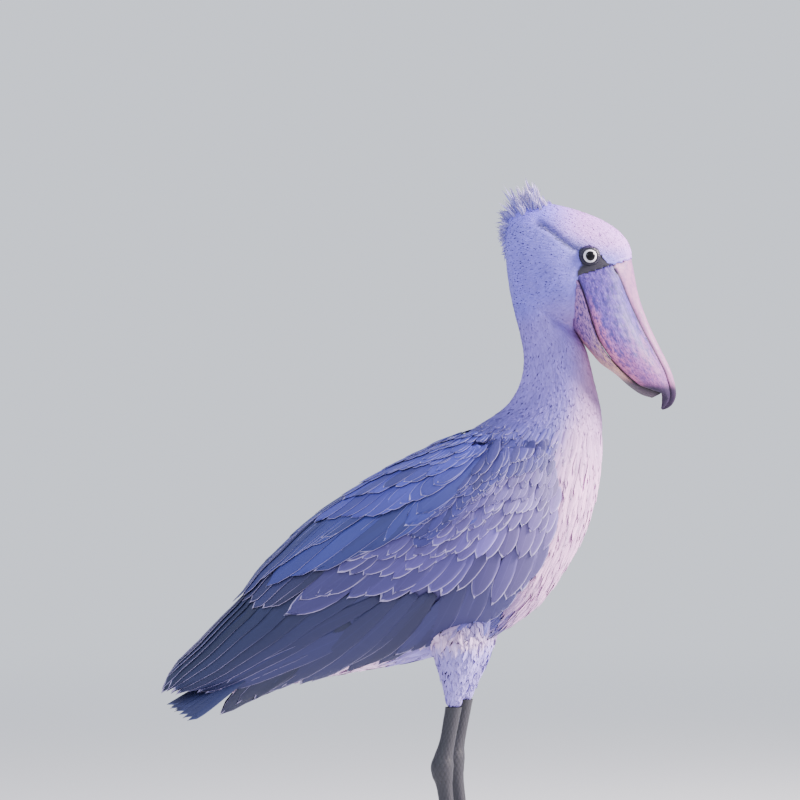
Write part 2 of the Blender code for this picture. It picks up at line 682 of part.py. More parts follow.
def make_claw(bearing, aside, length, radius, side, forward, name, finish):
    """A curved claw that grows from the end face of its toe."""
    start, ahead, across = toe_frame(bearing, aside, side, forward)
    root = start + ahead * (length + GAP)
    rise = radius * 0.62
    rings = []
    for t in np.linspace(0, 1, 5):
        size = CLAW_RADIUS * (1 - t) ** 0.75 + 0.0005
        middle = root + ahead * CLAW_LENGTH * math.sin(t * 1.35) / math.sin(1.35)
        height = rise + 0.0012 * math.sin(t * math.pi) - (rise - 0.0014) * t ** 2.0
        ring = []
        for a in np.linspace(0, 2 * math.pi, 6, endpoint=False):
            up = height + size * 0.95 * math.sin(a)
            ring.append(middle + across * size * 0.72 * math.cos(a) + np.array((0, 0, max(0.0004, up))))
        rings.append(ring)
    return loft(name, rings, finish)


def make_tail(finish):
    """Overlapping tail feathers, the middle one on top, fused to a small root body."""
    root = np.array((TAIL_ROOT[0], 0.0, TAIL_ROOT[1]))
    line = np.array((TAIL_TIP[0], 0.0, TAIL_TIP[1])) - root
    length = np.linalg.norm(line)
    ahead = line / length
    up = np.array((ahead[2], 0.0, -ahead[0]))
    aside = np.array((0.0, 1.0, 0.0))
    rings = []
    for t, half, thick in TAIL_STUMP:
        middle = root + line * t - up * (thick * 0.5 + 0.002)
        ring = [middle + aside * half * math.cos(a) + up * thick * math.sin(a)
                for a in np.linspace(0, 2 * math.pi, 12, endpoint=False)]
        rings.append(ring)
    tail = loft("tail", rings, finish)
    share = np.linspace(0, 1, 5)
    outline = np.interp(share, [0.0, 0.3, 0.8, 1.0], [0.55, 0.9, 1.0, 0.45])
    vanes = []
    for k in range(-TAIL_SIDE_FEATHERS, TAIL_SIDE_FEATHERS + 1):
        turn = k * TAIL_FAN
        course = ahead * math.cos(turn) + aside * math.sin(turn) - up * abs(k) * TAIL_DROP
        course /= np.linalg.norm(course)
        start = root + aside * k * 0.0036 - up * (0.0035 + abs(k) * 0.0016)
        reach = length * (1.0 - 0.012 * abs(k))
        middle = start + course * reach * share[:, None] + up * 0.004 * np.sin(share * math.pi)[:, None]
        roll = -0.10 * k / TAIL_SIDE_FEATHERS
        across = aside * math.cos(roll) + up * math.sin(roll)
        over = up * math.cos(roll) - aside * math.sin(roll)
        half = TAIL_HALF_WIDTH * outline
        vanes.append(vane_mesh("rectrix", middle, across * np.ones((5, 1)), over * np.ones((5, 1)), half,
                               TAIL_THICKNESS * (1.1 - 0.4 * share), False))
    join(tail, vanes)
    return tail


def make_crest(finish):
    """Crest feathers, pointed and loose, fused to a low cushion on the nape."""
    rings = []
    for t in np.linspace(-0.94, 0.94, 6):
        size = math.sqrt(1 - t * t)
        ring = [(CREST_ROOT[0] + CUSHION[0] * size * math.cos(a), CUSHION[1] * t,
                 CREST_ROOT[1] + 0.004 + CUSHION[2] * size * math.sin(a))
                for a in np.linspace(0, 2 * math.pi, 8, endpoint=False)]
        rings.append(ring)
    crest = loft("crest", rings, finish)
    draw = random.Random(5)
    share = np.linspace(0, 1, 4)
    bearings, reaches = zip(*CREST_REACH)
    vanes = []
    for k in range(CREST_COUNT):
        t = (k + draw.uniform(-0.3, 0.3)) / (CREST_COUNT - 1)
        bearing = bearings[0] + (bearings[-1] - bearings[0]) * t
        reach = np.interp(bearing, bearings, reaches) * draw.uniform(0.84, 1.03)
        angle = math.radians(bearing)
        aside = CREST_SPREAD * ((k * 0.618) % 1.0 - 0.5) * 2
        ahead = np.array((math.cos(angle), 0.42 * aside / CREST_SPREAD, math.sin(angle)))
        ahead /= np.linalg.norm(ahead)
        bend = np.array((-math.sin(angle), 0.0, math.cos(angle))) * draw.uniform(-0.003, 0.009)
        root = np.array((CREST_ROOT[0], aside * 0.8, CREST_ROOT[1] + 0.002))
        middle = root + ahead * reach * share[:, None] + bend * (share ** 2)[:, None]
        across = np.cross(ahead, (0.0, 1.0, 0.15))
        across /= np.linalg.norm(across)
        flat = np.cross(across, ahead)
        half = CREST_HALF_WIDTH * draw.uniform(0.85, 1.15) * np.array((0.7, 1.0, 0.85, 0.14))
        vanes.append(vane_mesh("plume", middle, across * np.ones((4, 1)), flat * np.ones((4, 1)), half,
                               CREST_THICKNESS * (1.1 - 0.4 * share), False))
    join(crest, vanes)
    return crest


def nostril_cutter(side):
    """A slit in the groove beside the culmen, near the forehead."""
    row = spline(np.asarray(BILL)[:, [0, 1, 2, 3, 6]], NOSTRIL_ROW)[0]
    shares, widths = zip(*UPPER_PROFILE)
    half = row[4] * np.interp(NOSTRIL_SHARE, shares, widths)
    x = row[0] + (row[2] - row[0]) * NOSTRIL_SHARE
    z = row[1] + (row[3] - row[1]) * NOSTRIL_SHARE
    rings = []
    for t in np.linspace(-0.97, 0.97, 5):
        size = NOSTRIL_RADIUS * math.sqrt(1 - t * t)
        middle = (x + 0.3 * NOSTRIL_HALF_LENGTH * t, side * half, z - NOSTRIL_HALF_LENGTH * t)
        rings.append([(middle[0] + size * math.cos(a), middle[1] + 2.2 * size * math.sin(a), middle[2])
                      for a in np.linspace(0, 2 * math.pi, 8, endpoint=False)])
    return loft("nostril", rings)


def shift_to_origin():
    """Puts the middle of the base at the origin."""
    low, high = np.full(3, 1e9), np.full(3, -1e9)
    for item in bpy.data.objects:
        points = np.array([v.co for v in item.data.vertices])
        low, high = np.minimum(low, points.min(0)), np.maximum(high, points.max(0))
    move = np.array((-(low[0] + high[0]) / 2, -(low[1] + high[1]) / 2, -low[2]))
    for item in bpy.data.objects:
        for vertex in item.data.vertices:
            vertex.co = tuple(np.array(vertex.co) + move)


def main():
    clear_scene()
    down = material("slate_down", (0.30, 0.31, 0.42), 0.85)
    pale = material("pale_down", (0.42, 0.40, 0.48), 0.85)
    flight = material("flight_feather", (0.10, 0.12, 0.21), 0.7)
    horn = material("bill_horn", (0.56, 0.40, 0.42), 0.45)
    leg_skin = material("leg_skin", (0.09, 0.09, 0.11), 0.6)
    claw = material("claw_horn", (0.03, 0.03, 0.035), 0.4)
    eye = material("eye", (0.80, 0.80, 0.76), 0.1)

    torso = make_torso(down)
    neck = make_neck(down)
    head = make_head(down)
    upper = make_bill_upper(horn)
    lower = make_bill_lower(horn)
    for side in (-1, 1):
        slit = nostril_cutter(side)
        cut(upper, [slit], 0.0)
        remove(slit)
    room = bill_room()
    cut(head, [room])
    remove(room)
    cut(neck, [head, lower])
    eyes = []
    for side, word in ((-1, "right"), (1, "left")):
        eyes.append(make_eye(side, "eye_" + word, eye))
    join(head, [lid_ring(-1, "lid_a"), lid_ring(1, "lid_b")])
    cut(head, eyes)
    crest = make_crest(down)
    cut(crest, [head])
    tail = make_tail(flight)
    cut(tail, [torso])
    for side, word, forward in ((-1, "right", 0.0), (1, "left", FAR_FOOT_FORWARD)):
        wing = make_wing_core(side, "wing_" + word, flight)
        join(wing, wing_vanes(side, 11 + side))
        other = half_space(side)
        cut(wing, [torso, other])
        remove(other)
        thigh = make_thigh(side, forward, "thigh_" + word, pale)
        cut(thigh, [torso, wing])
        make_shank(side, forward, "shank_" + word, leg_skin)
        tarsus = make_tarsus(side, forward, "tarsus_" + word, leg_skin)
        neighbours = [tarsus]
        for toe_name, bearing, aside, length, radius in TOES:
            toe = make_toe(bearing, aside, length, radius, side, forward, f"toe_{word}_{toe_name}", leg_skin)
            cut(toe, neighbours)
            neighbours = [tarsus] + ([toe] if toe_name == "middle" else neighbours[1:])
            make_claw(bearing, aside, length, radius, side, forward, f"claw_{word}_{toe_name}", claw)
    shift_to_origin()


main()
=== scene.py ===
# %% [markdown]
# # A standing shoebill
# The bird is a museum piece at life size: plumage over one skin, a big hooked bill, glass-clear
# eyes, and scaly legs. The outlines of the solids are drawn again as smooth surfaces, and feathers
# are laid on them as arrays of small curved sheets. The other way would be hair curves, but meshes
# keep their shape in any program.

# %% Load the solids
import math

import bpy
import numpy as np
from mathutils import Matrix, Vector
from mathutils.bvhtree import BVHTree


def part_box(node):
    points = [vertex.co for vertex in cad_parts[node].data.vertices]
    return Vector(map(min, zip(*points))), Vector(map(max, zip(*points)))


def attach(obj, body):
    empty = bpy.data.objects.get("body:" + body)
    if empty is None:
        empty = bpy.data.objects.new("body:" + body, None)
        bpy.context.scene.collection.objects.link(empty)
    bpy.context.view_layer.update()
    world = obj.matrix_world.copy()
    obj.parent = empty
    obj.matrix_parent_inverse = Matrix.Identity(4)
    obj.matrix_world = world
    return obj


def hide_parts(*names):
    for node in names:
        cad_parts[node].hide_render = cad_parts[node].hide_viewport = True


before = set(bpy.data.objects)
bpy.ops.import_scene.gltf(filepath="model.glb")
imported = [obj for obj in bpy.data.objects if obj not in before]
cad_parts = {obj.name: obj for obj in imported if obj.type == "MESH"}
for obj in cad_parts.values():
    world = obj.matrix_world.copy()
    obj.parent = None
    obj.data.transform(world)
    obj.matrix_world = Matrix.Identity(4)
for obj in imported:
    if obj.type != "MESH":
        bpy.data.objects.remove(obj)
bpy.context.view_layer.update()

# %% [markdown]
# ## Places and sizes
# The outlines are pairs of points in the bird's middle plane. They were drawn with their own zero,
# so one shift along X, read from the right eye's solid, puts them into the shared frame.
# One pixel of the photograph is 1.5 mm at the bird, which lets a place that was seen in the
# picture be named by its pixel.

# %% Shared sizes
PIXEL = 0.0015
PIXEL_ZERO = (450, 937)
EYE_PLACE = (0.2068, 0.044, 1.0225)
EYE_RADIUS = 0.0137
eye_low, eye_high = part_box("eye_right")
SHIFT = (eye_low.x + eye_high.x) / 2 - EYE_PLACE[0]
print("outlines move along X by", round(SHIFT, 4))


def seen_at(px, py):
    """The x and z of a pixel of the photograph, in the plane through the bird's middle."""
    x = (np.asarray(px, float) - PIXEL_ZERO[0]) * PIXEL + SHIFT
    return x, (PIXEL_ZERO[1] - np.asarray(py, float)) * PIXEL


# %% [markdown]
# ## Tools for surfaces
# Every shape here is a grid of points worked out at once. A Hermite spline runs through rows of
# numbers, a pair surface stands a rounded section on each pair of outline points, and a normal
# comes from two small steps on the surface.

# %% Spline and pair surface
def spline(rows, at):
    """Smooth curve through the rows at whole numbers: cubic Hermite with central slopes."""
    rows = np.asarray(rows, float)
    at = np.clip(np.asarray(at, float), 0, len(rows) - 1)
    step = np.clip(np.floor(at).astype(int), 0, len(rows) - 2)
    part = (at - step)[..., None]
    slope = np.gradient(rows, axis=0)
    square, cube = part ** 2, part ** 3
    return ((2 * cube - 3 * square + 1) * rows[step] + (cube - 2 * square + part) * slope[step]
            + (3 * square - 2 * cube) * rows[step + 1] + (cube - square) * slope[step + 1])


def pair_surface(rows, at, angle, roundness=1.0, low=1.0):
    """Section through a back and a front point: x and z go from one to the other by (1 - cos) / 2,
    y is the half width times sin. Angle 0 is the back, positive angles are the bird's left."""
    at, angle = np.broadcast_arrays(np.asarray(at, float), np.asarray(angle, float))
    read = spline(rows, at)
    share = ((1 - np.cos(angle)) / 2) ** low
    across = np.sign(np.sin(angle)) * np.abs(np.sin(angle)) ** roundness
    x = read[..., 0] + (read[..., 2] - read[..., 0]) * share + SHIFT
    z = read[..., 1] + (read[..., 3] - read[..., 1]) * share
    return np.stack([x, read[..., 4] * across, z], axis=-1)


def unit(vectors):
    """Vectors divided by their own lengths."""
    return vectors / np.maximum(np.linalg.norm(vectors, axis=-1, keepdims=True), 1e-12)


def turns(count):
    """Angles evenly round a circle, without the last one, which is the first again."""
    return np.linspace(0, 2 * math.pi, count, endpoint=False)


def with_normal(chart, at, angle):
    """Points of a chart, their outward normals, and the direction in which the rows run."""
    at, angle = np.broadcast_arrays(np.asarray(at, float), np.asarray(angle, float))
    step = 0.02
    point = chart(at, angle)
    along = chart(at + step, angle) - chart(at - step, angle)
    round_ = chart(at, angle + step) - chart(at, angle - step)
    middle = (chart(at, 0 * angle) + chart(at, 0 * angle + math.pi)) / 2
    normal = unit(np.cross(along, round_))
    outward = np.sign(np.sum(normal * (point - middle), axis=-1, keepdims=True))
    return point, normal * outward, unit(along)


# %% [markdown]
# Meshes are filled from whole arrays. Each vertex can carry named numbers: the colour of the
# plumage at its place, its distance to the feather's rim, and a tone that differs from feather
# to feather.

# %% Mesh makers
def add_mesh(name, points, faces, smooth=True):
    """A mesh object from an array of points and an array of faces, all of one count of corners."""
    points = np.asarray(points, np.float32).reshape(-1, 3)
    faces = np.asarray(faces, np.int32)
    data = bpy.data.meshes.new(name)
    data.vertices.add(len(points))
    data.vertices.foreach_set("co", points.ravel())
    data.loops.add(faces.size)
    data.loops.foreach_set("vertex_index", faces.ravel())
    data.polygons.add(len(faces))
    data.polygons.foreach_set("loop_start", np.arange(0, faces.size, faces.shape[1], dtype=np.int32))
    data.update(calc_edges=True)
    data.validate()
    data.polygons.foreach_set("use_smooth", np.full(len(data.polygons), smooth))
    made = bpy.data.objects.new(name, data)
    bpy.context.scene.collection.objects.link(made)
    return made


def grid_faces(rows, columns, closed=False):
    """Four-sided faces of a grid whose points are numbered row by row."""
    last = columns if closed else columns - 1
    row, column = np.meshgrid(np.arange(rows - 1), np.arange(last), indexing="ij")
    beside = (column + 1) % columns
    return np.stack([row * columns + column, row * columns + beside,
                     (row + 1) * columns + beside, (row + 1) * columns + column], axis=-1).reshape(-1, 4)


def give(item, name, values, kind="FLOAT"):
    """Stores one number or one colour for each vertex."""
    attribute = item.data.attributes.new(name, kind, "POINT")
    field = "value" if kind == "FLOAT" else "color"
    attribute.data.foreach_set(field, np.asarray(values, np.float32).ravel())


def vertex_vectors(item, field):
    """Places ("co") or normals ("normal") of all vertices, as rows of three numbers."""
    values = np.zeros(len(item.data.vertices) * 3)
    item.data.vertices.foreach_get(field, values)
    return values.reshape(-1, 3)


def move_vertices(item, places):
    """Puts every vertex at its new place."""
    item.data.vertices.foreach_set("co", places.ravel())
    item.data.update()


def give_uv(item, name, uv):
    """Stores a UV place for each vertex, copied to the face corners."""
    corner = np.zeros(len(item.data.loops), np.int32)
    item.data.loops.foreach_get("vertex_index", corner)
    layer = item.data.uv_layers.new(name=name)
    layer.data.foreach_set("uv", np.asarray(uv, np.float32).reshape(-1, 2)[corner].ravel())


def ramp(low, high, value):
    """0 below low, 1 above high, and a smooth rise between."""
    share = np.clip((np.asarray(value, float) - low) / (high - low), 0, 1)
    return share * share * (3 - 2 * share)


# %% [markdown]
# ## Outlines
# The pairs follow the bird's silhouette in the photograph: crown and jaw for the head, nape and
# throat for the neck, back and breast for the trunk, whose last number is how much the folded
# wings cover.

# %% Rows of the body
TRUNK = np.array([
    (0.088, 0.975, 0.17, 0.935, 0.044, 0.0),
    (0.096, 0.939, 0.188, 0.908, 0.0445, 0.0),
    (0.105, 0.903, 0.203, 0.885, 0.0445, 0.0),
    (0.1095, 0.873, 0.211, 0.861, 0.045, 0.0),
    (0.107, 0.845, 0.218, 0.833, 0.0475, 0.0),
    (0.097, 0.818, 0.226, 0.805, 0.053, 0.0),
    (0.079, 0.796, 0.231, 0.779, 0.062, 0.0),
    (0.054, 0.779, 0.2315, 0.749, 0.0765, 0.0),
    (0.027, 0.762, 0.23, 0.716, 0.092, 0.0),
    (-0.0045, 0.746, 0.226, 0.678, 0.108, 0.004),
    (-0.0435, 0.726, 0.2165, 0.638, 0.122, 0.01),
    (-0.085, 0.705, 0.2, 0.596, 0.132, 0.014),
    (-0.125, 0.682, 0.174, 0.548, 0.137, 0.016),
    (-0.1575, 0.6615, 0.1365, 0.498, 0.137, 0.018),
    (-0.192, 0.6375, 0.085, 0.458, 0.131, 0.02),
    (-0.2265, 0.609, 0.025, 0.43, 0.121, 0.024),
    (-0.244, 0.572, -0.04, 0.413, 0.1, 0.026),
    (-0.256, 0.534, -0.102, 0.401, 0.078, 0.022),
    (-0.266, 0.496, -0.158, 0.391, 0.056, 0.012),
    (-0.276, 0.462, -0.208, 0.383, 0.04, 0.004),
    (-0.287, 0.432, -0.25, 0.375, 0.032, 0.0),
    (-0.304, 0.406, -0.284, 0.368, 0.023, 0.0),
    (-0.326, 0.386, -0.318, 0.364, 0.012, 0.0),
    (-0.336, 0.377, -0.332, 0.368, 0.005, 0.0),
])
HEAD = np.array([
    (0.0835, 1.062, 0.0815, 1.04, 0.012),
    (0.088, 1.078, 0.083, 1.015, 0.029),
    (0.1, 1.089, 0.0865, 0.985, 0.0415),
    (0.12, 1.097, 0.095, 0.956, 0.05),
    (0.1485, 1.101, 0.118, 0.942, 0.055),
    (0.175, 1.096, 0.14, 0.932, 0.0575),
    (0.2, 1.0885, 0.1575, 0.921, 0.0562),
    (0.225, 1.0785, 0.17, 0.913, 0.054),
    (0.2435, 1.068, 0.179, 0.911, 0.0515),
    (0.257, 1.057, 0.184, 0.9105, 0.049),
    (0.2685, 1.042, 0.19, 0.911, 0.046),
    (0.2735, 1.027, 0.2, 0.912, 0.043),
    (0.276, 1.013, 0.215, 0.913, 0.04),
])
# Thigh: x, z, half depth, half width, from the flank to just above the bare shank
THIGH = np.array([
    (0.014, 0.5, 0.05, 0.018),
    (0.013, 0.465, 0.048, 0.028),
    (0.011, 0.432, 0.041, 0.034),
    (0.01, 0.405, 0.032, 0.029),
    (0.008, 0.38, 0.023, 0.021),
    (0.006, 0.36, 0.017, 0.016),
    (0.005, 0.35, 0.0145, 0.014),
])
LEG_HALF_SPREAD = 0.072
FAR_FOOT_FORWARD = 0.018


def slimmed_trunk():
    """Trunk pairs with the wings' depth taken off the back and the flanks."""
    back, front, cover = TRUNK[:, 0:2], TRUNK[:, 2:4], TRUNK[:, 5:6]
    run = np.linalg.norm(front - back, axis=1, keepdims=True)
    return np.hstack([back + (front - back) * cover / run, front, TRUNK[:, 4:5] - cover])


SLIM = slimmed_trunk()


def trunk_chart(at, angle):
    """Place on the trunk under the wings: row, and angle from the ridge of the back."""
    return pair_surface(SLIM, at, angle)


def head_chart(at, angle):
    """Place on the head: a little squarer than an ellipse, and fuller near the crown."""
    return pair_surface(HEAD, at, angle, 0.85, 0.92)


def thigh_chart(side):
    """Chart of one thigh: rows run down, angle 0 is at the front."""
    forward = FAR_FOOT_FORWARD if side > 0 else 0.0

    def chart(at, angle):
        at, angle = np.broadcast_arrays(np.asarray(at, float), np.asarray(angle, float))
        read = spline(THIGH, at)
        return np.stack([read[..., 0] + forward + SHIFT + read[..., 2] * np.cos(angle),
                         side * LEG_HALF_SPREAD + read[..., 3] * np.sin(angle), read[..., 1]], axis=-1)
    return chart


# %% [markdown]
# ## The skin
# Under its feathers a bird is one unbroken skin. Closed shells of head, neck and trunk, thighs and
# folded wings are pulled in by the depth of the plumage, then melted into one surface by a voxel
# remesh and smoothed, so that no seam shows. Unions would keep hard creases where they meet.

# %% Shells under the plumage
def closed_faces(rows, sides):
    """Faces of a closed tube of rings, with a fan round the middle point of each end."""
    faces = grid_faces(rows, sides, closed=True).tolist()
    total = rows * sides
    faces += [(total, (j + 1) % sides, j) for j in range(sides)]
    faces += [(total + 1, total - sides + j, total - sides + (j + 1) % sides) for j in range(sides)]
    return faces


def shell(chart, at, depth, sides=64):
    """Closed rings of a chart, pulled in along the normal by a depth, with a fan at each end."""
    angle = turns(sides)
    point, normal, _ = with_normal(chart, at[:, None], angle[None, :])
    rings = point - normal * np.broadcast_to(depth, at.shape)[:, None, None]
    ends = np.stack([rings[0].mean(0), rings[-1].mean(0)])
    return np.vstack([rings.reshape(-1, 3), ends]), closed_faces(len(at), sides)


def coat_depth(at):
    """How deep the plumage is along the trunk: thin on the neck, thick on breast and belly."""
    depths = [0.0012, 0.0015, 0.004, 0.008, 0.008, 0.006, 0.004, 0.002]
    return np.interp(at, [0, 2, 5, 9, 14, 18, 21, 23], depths)


# %% Wing chart
WING_START = 8
WING_TAIL = np.array([
    (-0.2565, 0.579, -0.04, 0.412, 0.1075),
    (-0.285, 0.5505, -0.105, 0.4, 0.092),
    (-0.312, 0.513, -0.165, 0.388, 0.076),
    (-0.3465, 0.4785, -0.225, 0.374, 0.061),
    (-0.381, 0.441, -0.285, 0.358, 0.047),
    (-0.4125, 0.4095, -0.345, 0.34, 0.035),
    (-0.435, 0.374, -0.405, 0.325, 0.024),
])
WING_ROWS = np.vstack([TRUNK[WING_START:WING_START + 8, :5], WING_TAIL])
# Edges of the fleshy part of the folded wing: row, upper angle, lower angle
WING_FLESH = np.array([
    (0.6, 0.75, 1.05), (1.0, 0.45, 1.5), (2.0, 0.25, 1.85), (3.0, 0.18, 2.0),
    (5.0, 0.14, 2.02), (7.0, 0.14, 1.95), (8.4, 0.16, 1.7)
])
WING_FLESH_DEPTH = 0.022
WING_FLESH_SIDES = 48
SHOULDER_SINK = 0.006


def wing_chart(side):
    """Chart of the outer side of one folded wing. Its rows start at the shoulder and end at the
    tips of the primaries; angle 0 is the ridge of the back."""
    def chart(at, angle):
        return pair_surface(WING_ROWS, at, side * np.asarray(angle, float))
    return chart


def wing_flesh(side, lift):
    """Closed plate under the wing's feathers: its outer and inner faces share one oval rim."""
    sides = WING_FLESH_SIDES
    at = np.linspace(WING_FLESH[0, 0], WING_FLESH[-1, 0], sides)
    turn = turns(sides)
    upper = np.interp(at, WING_FLESH[:, 0], WING_FLESH[:, 1])[:, None]
    lower = np.interp(at, WING_FLESH[:, 0], WING_FLESH[:, 2])[:, None]
    angle = (upper + lower) / 2 - (lower - upper) / 2 * np.cos(turn)[None, :]
    point, normal, _ = with_normal(wing_chart(side), at[:, None] + 0 * angle, angle)
    thick = WING_FLESH_DEPTH * np.interp(at, [0.6, 1.2, 6.0, 8.4], [0.2, 1.0, 1.0, 0.25])[:, None]
    level = (np.sqrt(np.abs(np.sin(turn))) * np.sign(np.sin(turn)))[None, :] * thick / 2
    sink = SHOULDER_SINK * ramp(2.4, 0.6, at)[:, None]
    rings = point + normal * (lift - sink - thick / 2 + level)[..., None]
    ends = np.stack([rings[0].mean(0), rings[-1].mean(0)])
    return np.vstack([rings.reshape(-1, 3), ends]), closed_faces(sides, sides)


# %% One skin by a voxel remesh
SKIN_VOXEL = 0.0032
HEAD_DEPTH = 0.0022
THIGH_DEPTH = 0.007
WING_LIFT = -0.004


def melted(name, shells, voxel, smoothing):
    """One object from several closed shells: joined, remeshed in voxels, smoothed, and applied."""
    points, faces, start = [], [], 0
    for shell_points, shell_faces in shells:
        points.append(shell_points)
        faces += [tuple(start + i for i in face) for face in shell_faces]
        start += len(shell_points)
    data = bpy.data.meshes.new(name)
    data.from_pydata(np.vstack(points).tolist(), [], faces)
    rough = bpy.data.objects.new(name + "_rough", data)
    bpy.context.scene.collection.objects.link(rough)
    remesh = rough.modifiers.new("melt", "REMESH")
    remesh.mode = "VOXEL"
    remesh.voxel_size = voxel
    soften = rough.modifiers.new("soften", "SMOOTH")
    soften.factor = 0.5
    soften.iterations = smoothing
    graph = bpy.context.evaluated_depsgraph_get()
    made = bpy.data.objects.new(name, bpy.data.meshes.new_from_object(rough.evaluated_get(graph)))
    bpy.data.objects.remove(rough)
    bpy.context.scene.collection.objects.link(made)
    made.data.polygons.foreach_set("use_smooth", np.ones(len(made.data.polygons), bool))
    return made


trunk_at = np.linspace(0, len(SLIM) - 1, 120)
shells = [
    shell(trunk_chart, trunk_at, coat_depth(trunk_at)),
    shell(head_chart, np.linspace(0, len(HEAD) - 1, 90), np.float64(HEAD_DEPTH)),
    shell(thigh_chart(-1), np.linspace(0, len(THIGH) - 1, 40), np.float64(THIGH_DEPTH)),
    shell(thigh_chart(1), np.linspace(0, len(THIGH) - 1, 40), np.float64(THIGH_DEPTH)),
    wing_flesh(-1, WING_LIFT),
    wing_flesh(1, WING_LIFT),
]
skin = melted("skin", shells, SKIN_VOXEL, 6)
print("skin has", len(skin.data.vertices), "vertices")

# %% [markdown]
# The head's own forms are pressed into the skin: a furrow from the crown's back corner down to the
# eye, which sets the full cheek off from the brow, and a crease where the jaw ends over the neck.

# %% Furrows of the head
BROW_LINE = [(536, 219), (543, 224), (549, 229), (557, 235), (566, 243), (574, 249), (581, 251)]
JAW_LINE = [(528, 292), (533, 299), (538, 305), (549, 315), (559, 322), (568, 327), (573, 331)]


def from_line(points, line):
    """Distance of places from a line of pixels, seen from the side, and the share of the way."""
    x, z = seen_at([p[0] for p in line], [p[1] for p in line])
    best = np.full(points.shape[:-1], 9.0)
    where = np.zeros(points.shape[:-1])
    for k in range(len(line) - 1):
        ax, az, bx, bz = x[k], z[k], x[k + 1], z[k + 1]
        run = (bx - ax) ** 2 + (bz - az) ** 2
        t = np.clip(((points[..., 0] - ax) * (bx - ax) + (points[..., 2] - az) * (bz - az)) / run, 0, 1)
        away = np.hypot(points[..., 0] - ax - t * (bx - ax), points[..., 2] - az - t * (bz - az))
        where = np.where(away < best, (k + t) / (len(line) - 1), where)
        best = np.minimum(best, away)
    return best, where


def head_relief(points):
    """Height along the normal: furrows are Gaussian in the distance from their line, and the
    cheek swells between them."""
    side = ramp(0.018, 0.034, np.abs(points[..., 1]))
    brow, along_brow = from_line(points, BROW_LINE)
    jaw, along_jaw = from_line(points, JAW_LINE)
    height = -0.0022 * np.exp(-(brow / 0.0042) ** 2)
    height *= np.sin(np.clip(along_brow * 0.85 + 0.15, 0, 1) * math.pi) ** 0.5
    height -= 0.0026 * np.exp(-(jaw / 0.0048) ** 2) * ramp(0.0, 0.3, along_jaw)
    cheek_x, cheek_z = seen_at(547, 282)
    cheek = np.hypot((points[..., 0] - cheek_x) / 0.034, (points[..., 2] - cheek_z) / 0.046)
    height += 0.0022 * np.exp(-cheek ** 2)
    return height * side


def press(item, relief):
    """Moves the vertices of a mesh along their normals by a relief."""
    places, normals = vertex_vectors(item, "co"), vertex_vectors(item, "normal")
    move_vertices(item, places + normals * relief(places)[:, None])


press(skin, head_relief)

# %% [markdown]
# Where the bill grows, the head is cut off flat: everything ahead of the line from brow over gape
# to jaw is pushed back onto that line, a little behind the bill's own base.

# %% Flat face behind the bill
BILL_FACE = ((0.2715, 1.0185), (0.189, 0.993), (0.1845, 0.9125), (0.268, 0.8265))
FACE_SINK = -0.003


def beyond(points, start, end):
    """Signed distance from a line in the side view, positive on the left of start to end."""
    x, z = points[..., 0] - SHIFT, points[..., 2]
    run = np.array(end) - np.array(start)
    return (run[0] * (z - start[1]) - run[1] * (x - start[0])) / np.linalg.norm(run)


def flatten_face(item):
    """Pushes vertices that are past a face line, and above the bill's underside, back onto it."""
    places = vertex_vectors(item, "co")
    brow, gape, jaw, chin = BILL_FACE
    within = beyond(places, jaw, chin) > 0.002
    for _ in range(3):
        for start, end in ((gape, brow), (jaw, gape)):
            run = unit(np.array(end) - np.array(start))
            back = np.array([-run[1], 0, run[0]])
            ahead = FACE_SINK - beyond(places, start, end)
            other = beyond(places, jaw, gape) if start is gape else beyond(places, gape, brow)
            move = np.where(within & (ahead > 0) & (other < FACE_SINK + 0.001), ahead, 0)
            places += back * move[:, None]
    move_vertices(item, places)


flatten_face(skin)

# %% [markdown]
# Feathers are laid on this skin: a place is settled on it by its nearest point, and the normal
# there is the mean of the face's corner normals, so it turns smoothly from face to face.

# %% Settling on the skin
skin_corners = [tuple(p.vertices) for p in skin.data.polygons]
skin_points = vertex_vectors(skin, "co")
skin_normals = vertex_vectors(skin, "normal")
SKIN_TREE = BVHTree.FromPolygons(skin_points.tolist(), skin_corners)
face_normals = unit(np.array([skin_normals[list(c)].mean(0) for c in skin_corners]))


def settle(points):
    """Nearest places on the skin, their smooth normals, and how far away they were."""
    flat = np.asarray(points, float).reshape(-1, 3)
    found = [SKIN_TREE.find_nearest(Vector(p)) for p in flat]
    place = np.array([f[0] for f in found])
    normal = face_normals[[f[2] for f in found]]
    distance = np.array([f[3] for f in found])
    shape = np.shape(points)
    return place.reshape(shape), normal.reshape(shape), distance.reshape(shape[:-1])


# %% [markdown]
# ## Colours by place
# Skin and plumage take their colour from one function of place, so that they always agree. The
# head is a pale lavender grey, the crown and breast are warmer and lighter, the back is slate
# blue and the vent nearly white. Soft steps and a little noise join these.

# %% Colour of the plumage
def linear(red, green, blue):
    """Colour given as it looks on a screen, 0 to 255, turned into light."""
    value = np.array([red, green, blue], float) / 255
    return np.where(value <= 0.04045, value / 12.92, ((value + 0.055) / 1.055) ** 2.4)


CHEEK = linear(118, 108, 214)
CROWN = linear(196, 134, 226)
CROWN_BACK = linear(128, 112, 236)
# Painted shade for a band just above the brow furrow
PAINTED_BROW_SHADE = linear(26, 28, 92)
NECK = linear(136, 116, 208)
NECK_FRONT = linear(178, 136, 192)
MANTLE = linear(62, 58, 140)
BREAST = linear(226, 174, 222)
BELLY = linear(246, 208, 246)
THIGH_DOWN = linear(162, 146, 226)
RUMP = linear(56, 60, 124)


def mix(first, second, share):
    """First at share 0, second at share 1, and a straight blend between."""
    return first + (second - first) * np.asarray(share)[..., None]


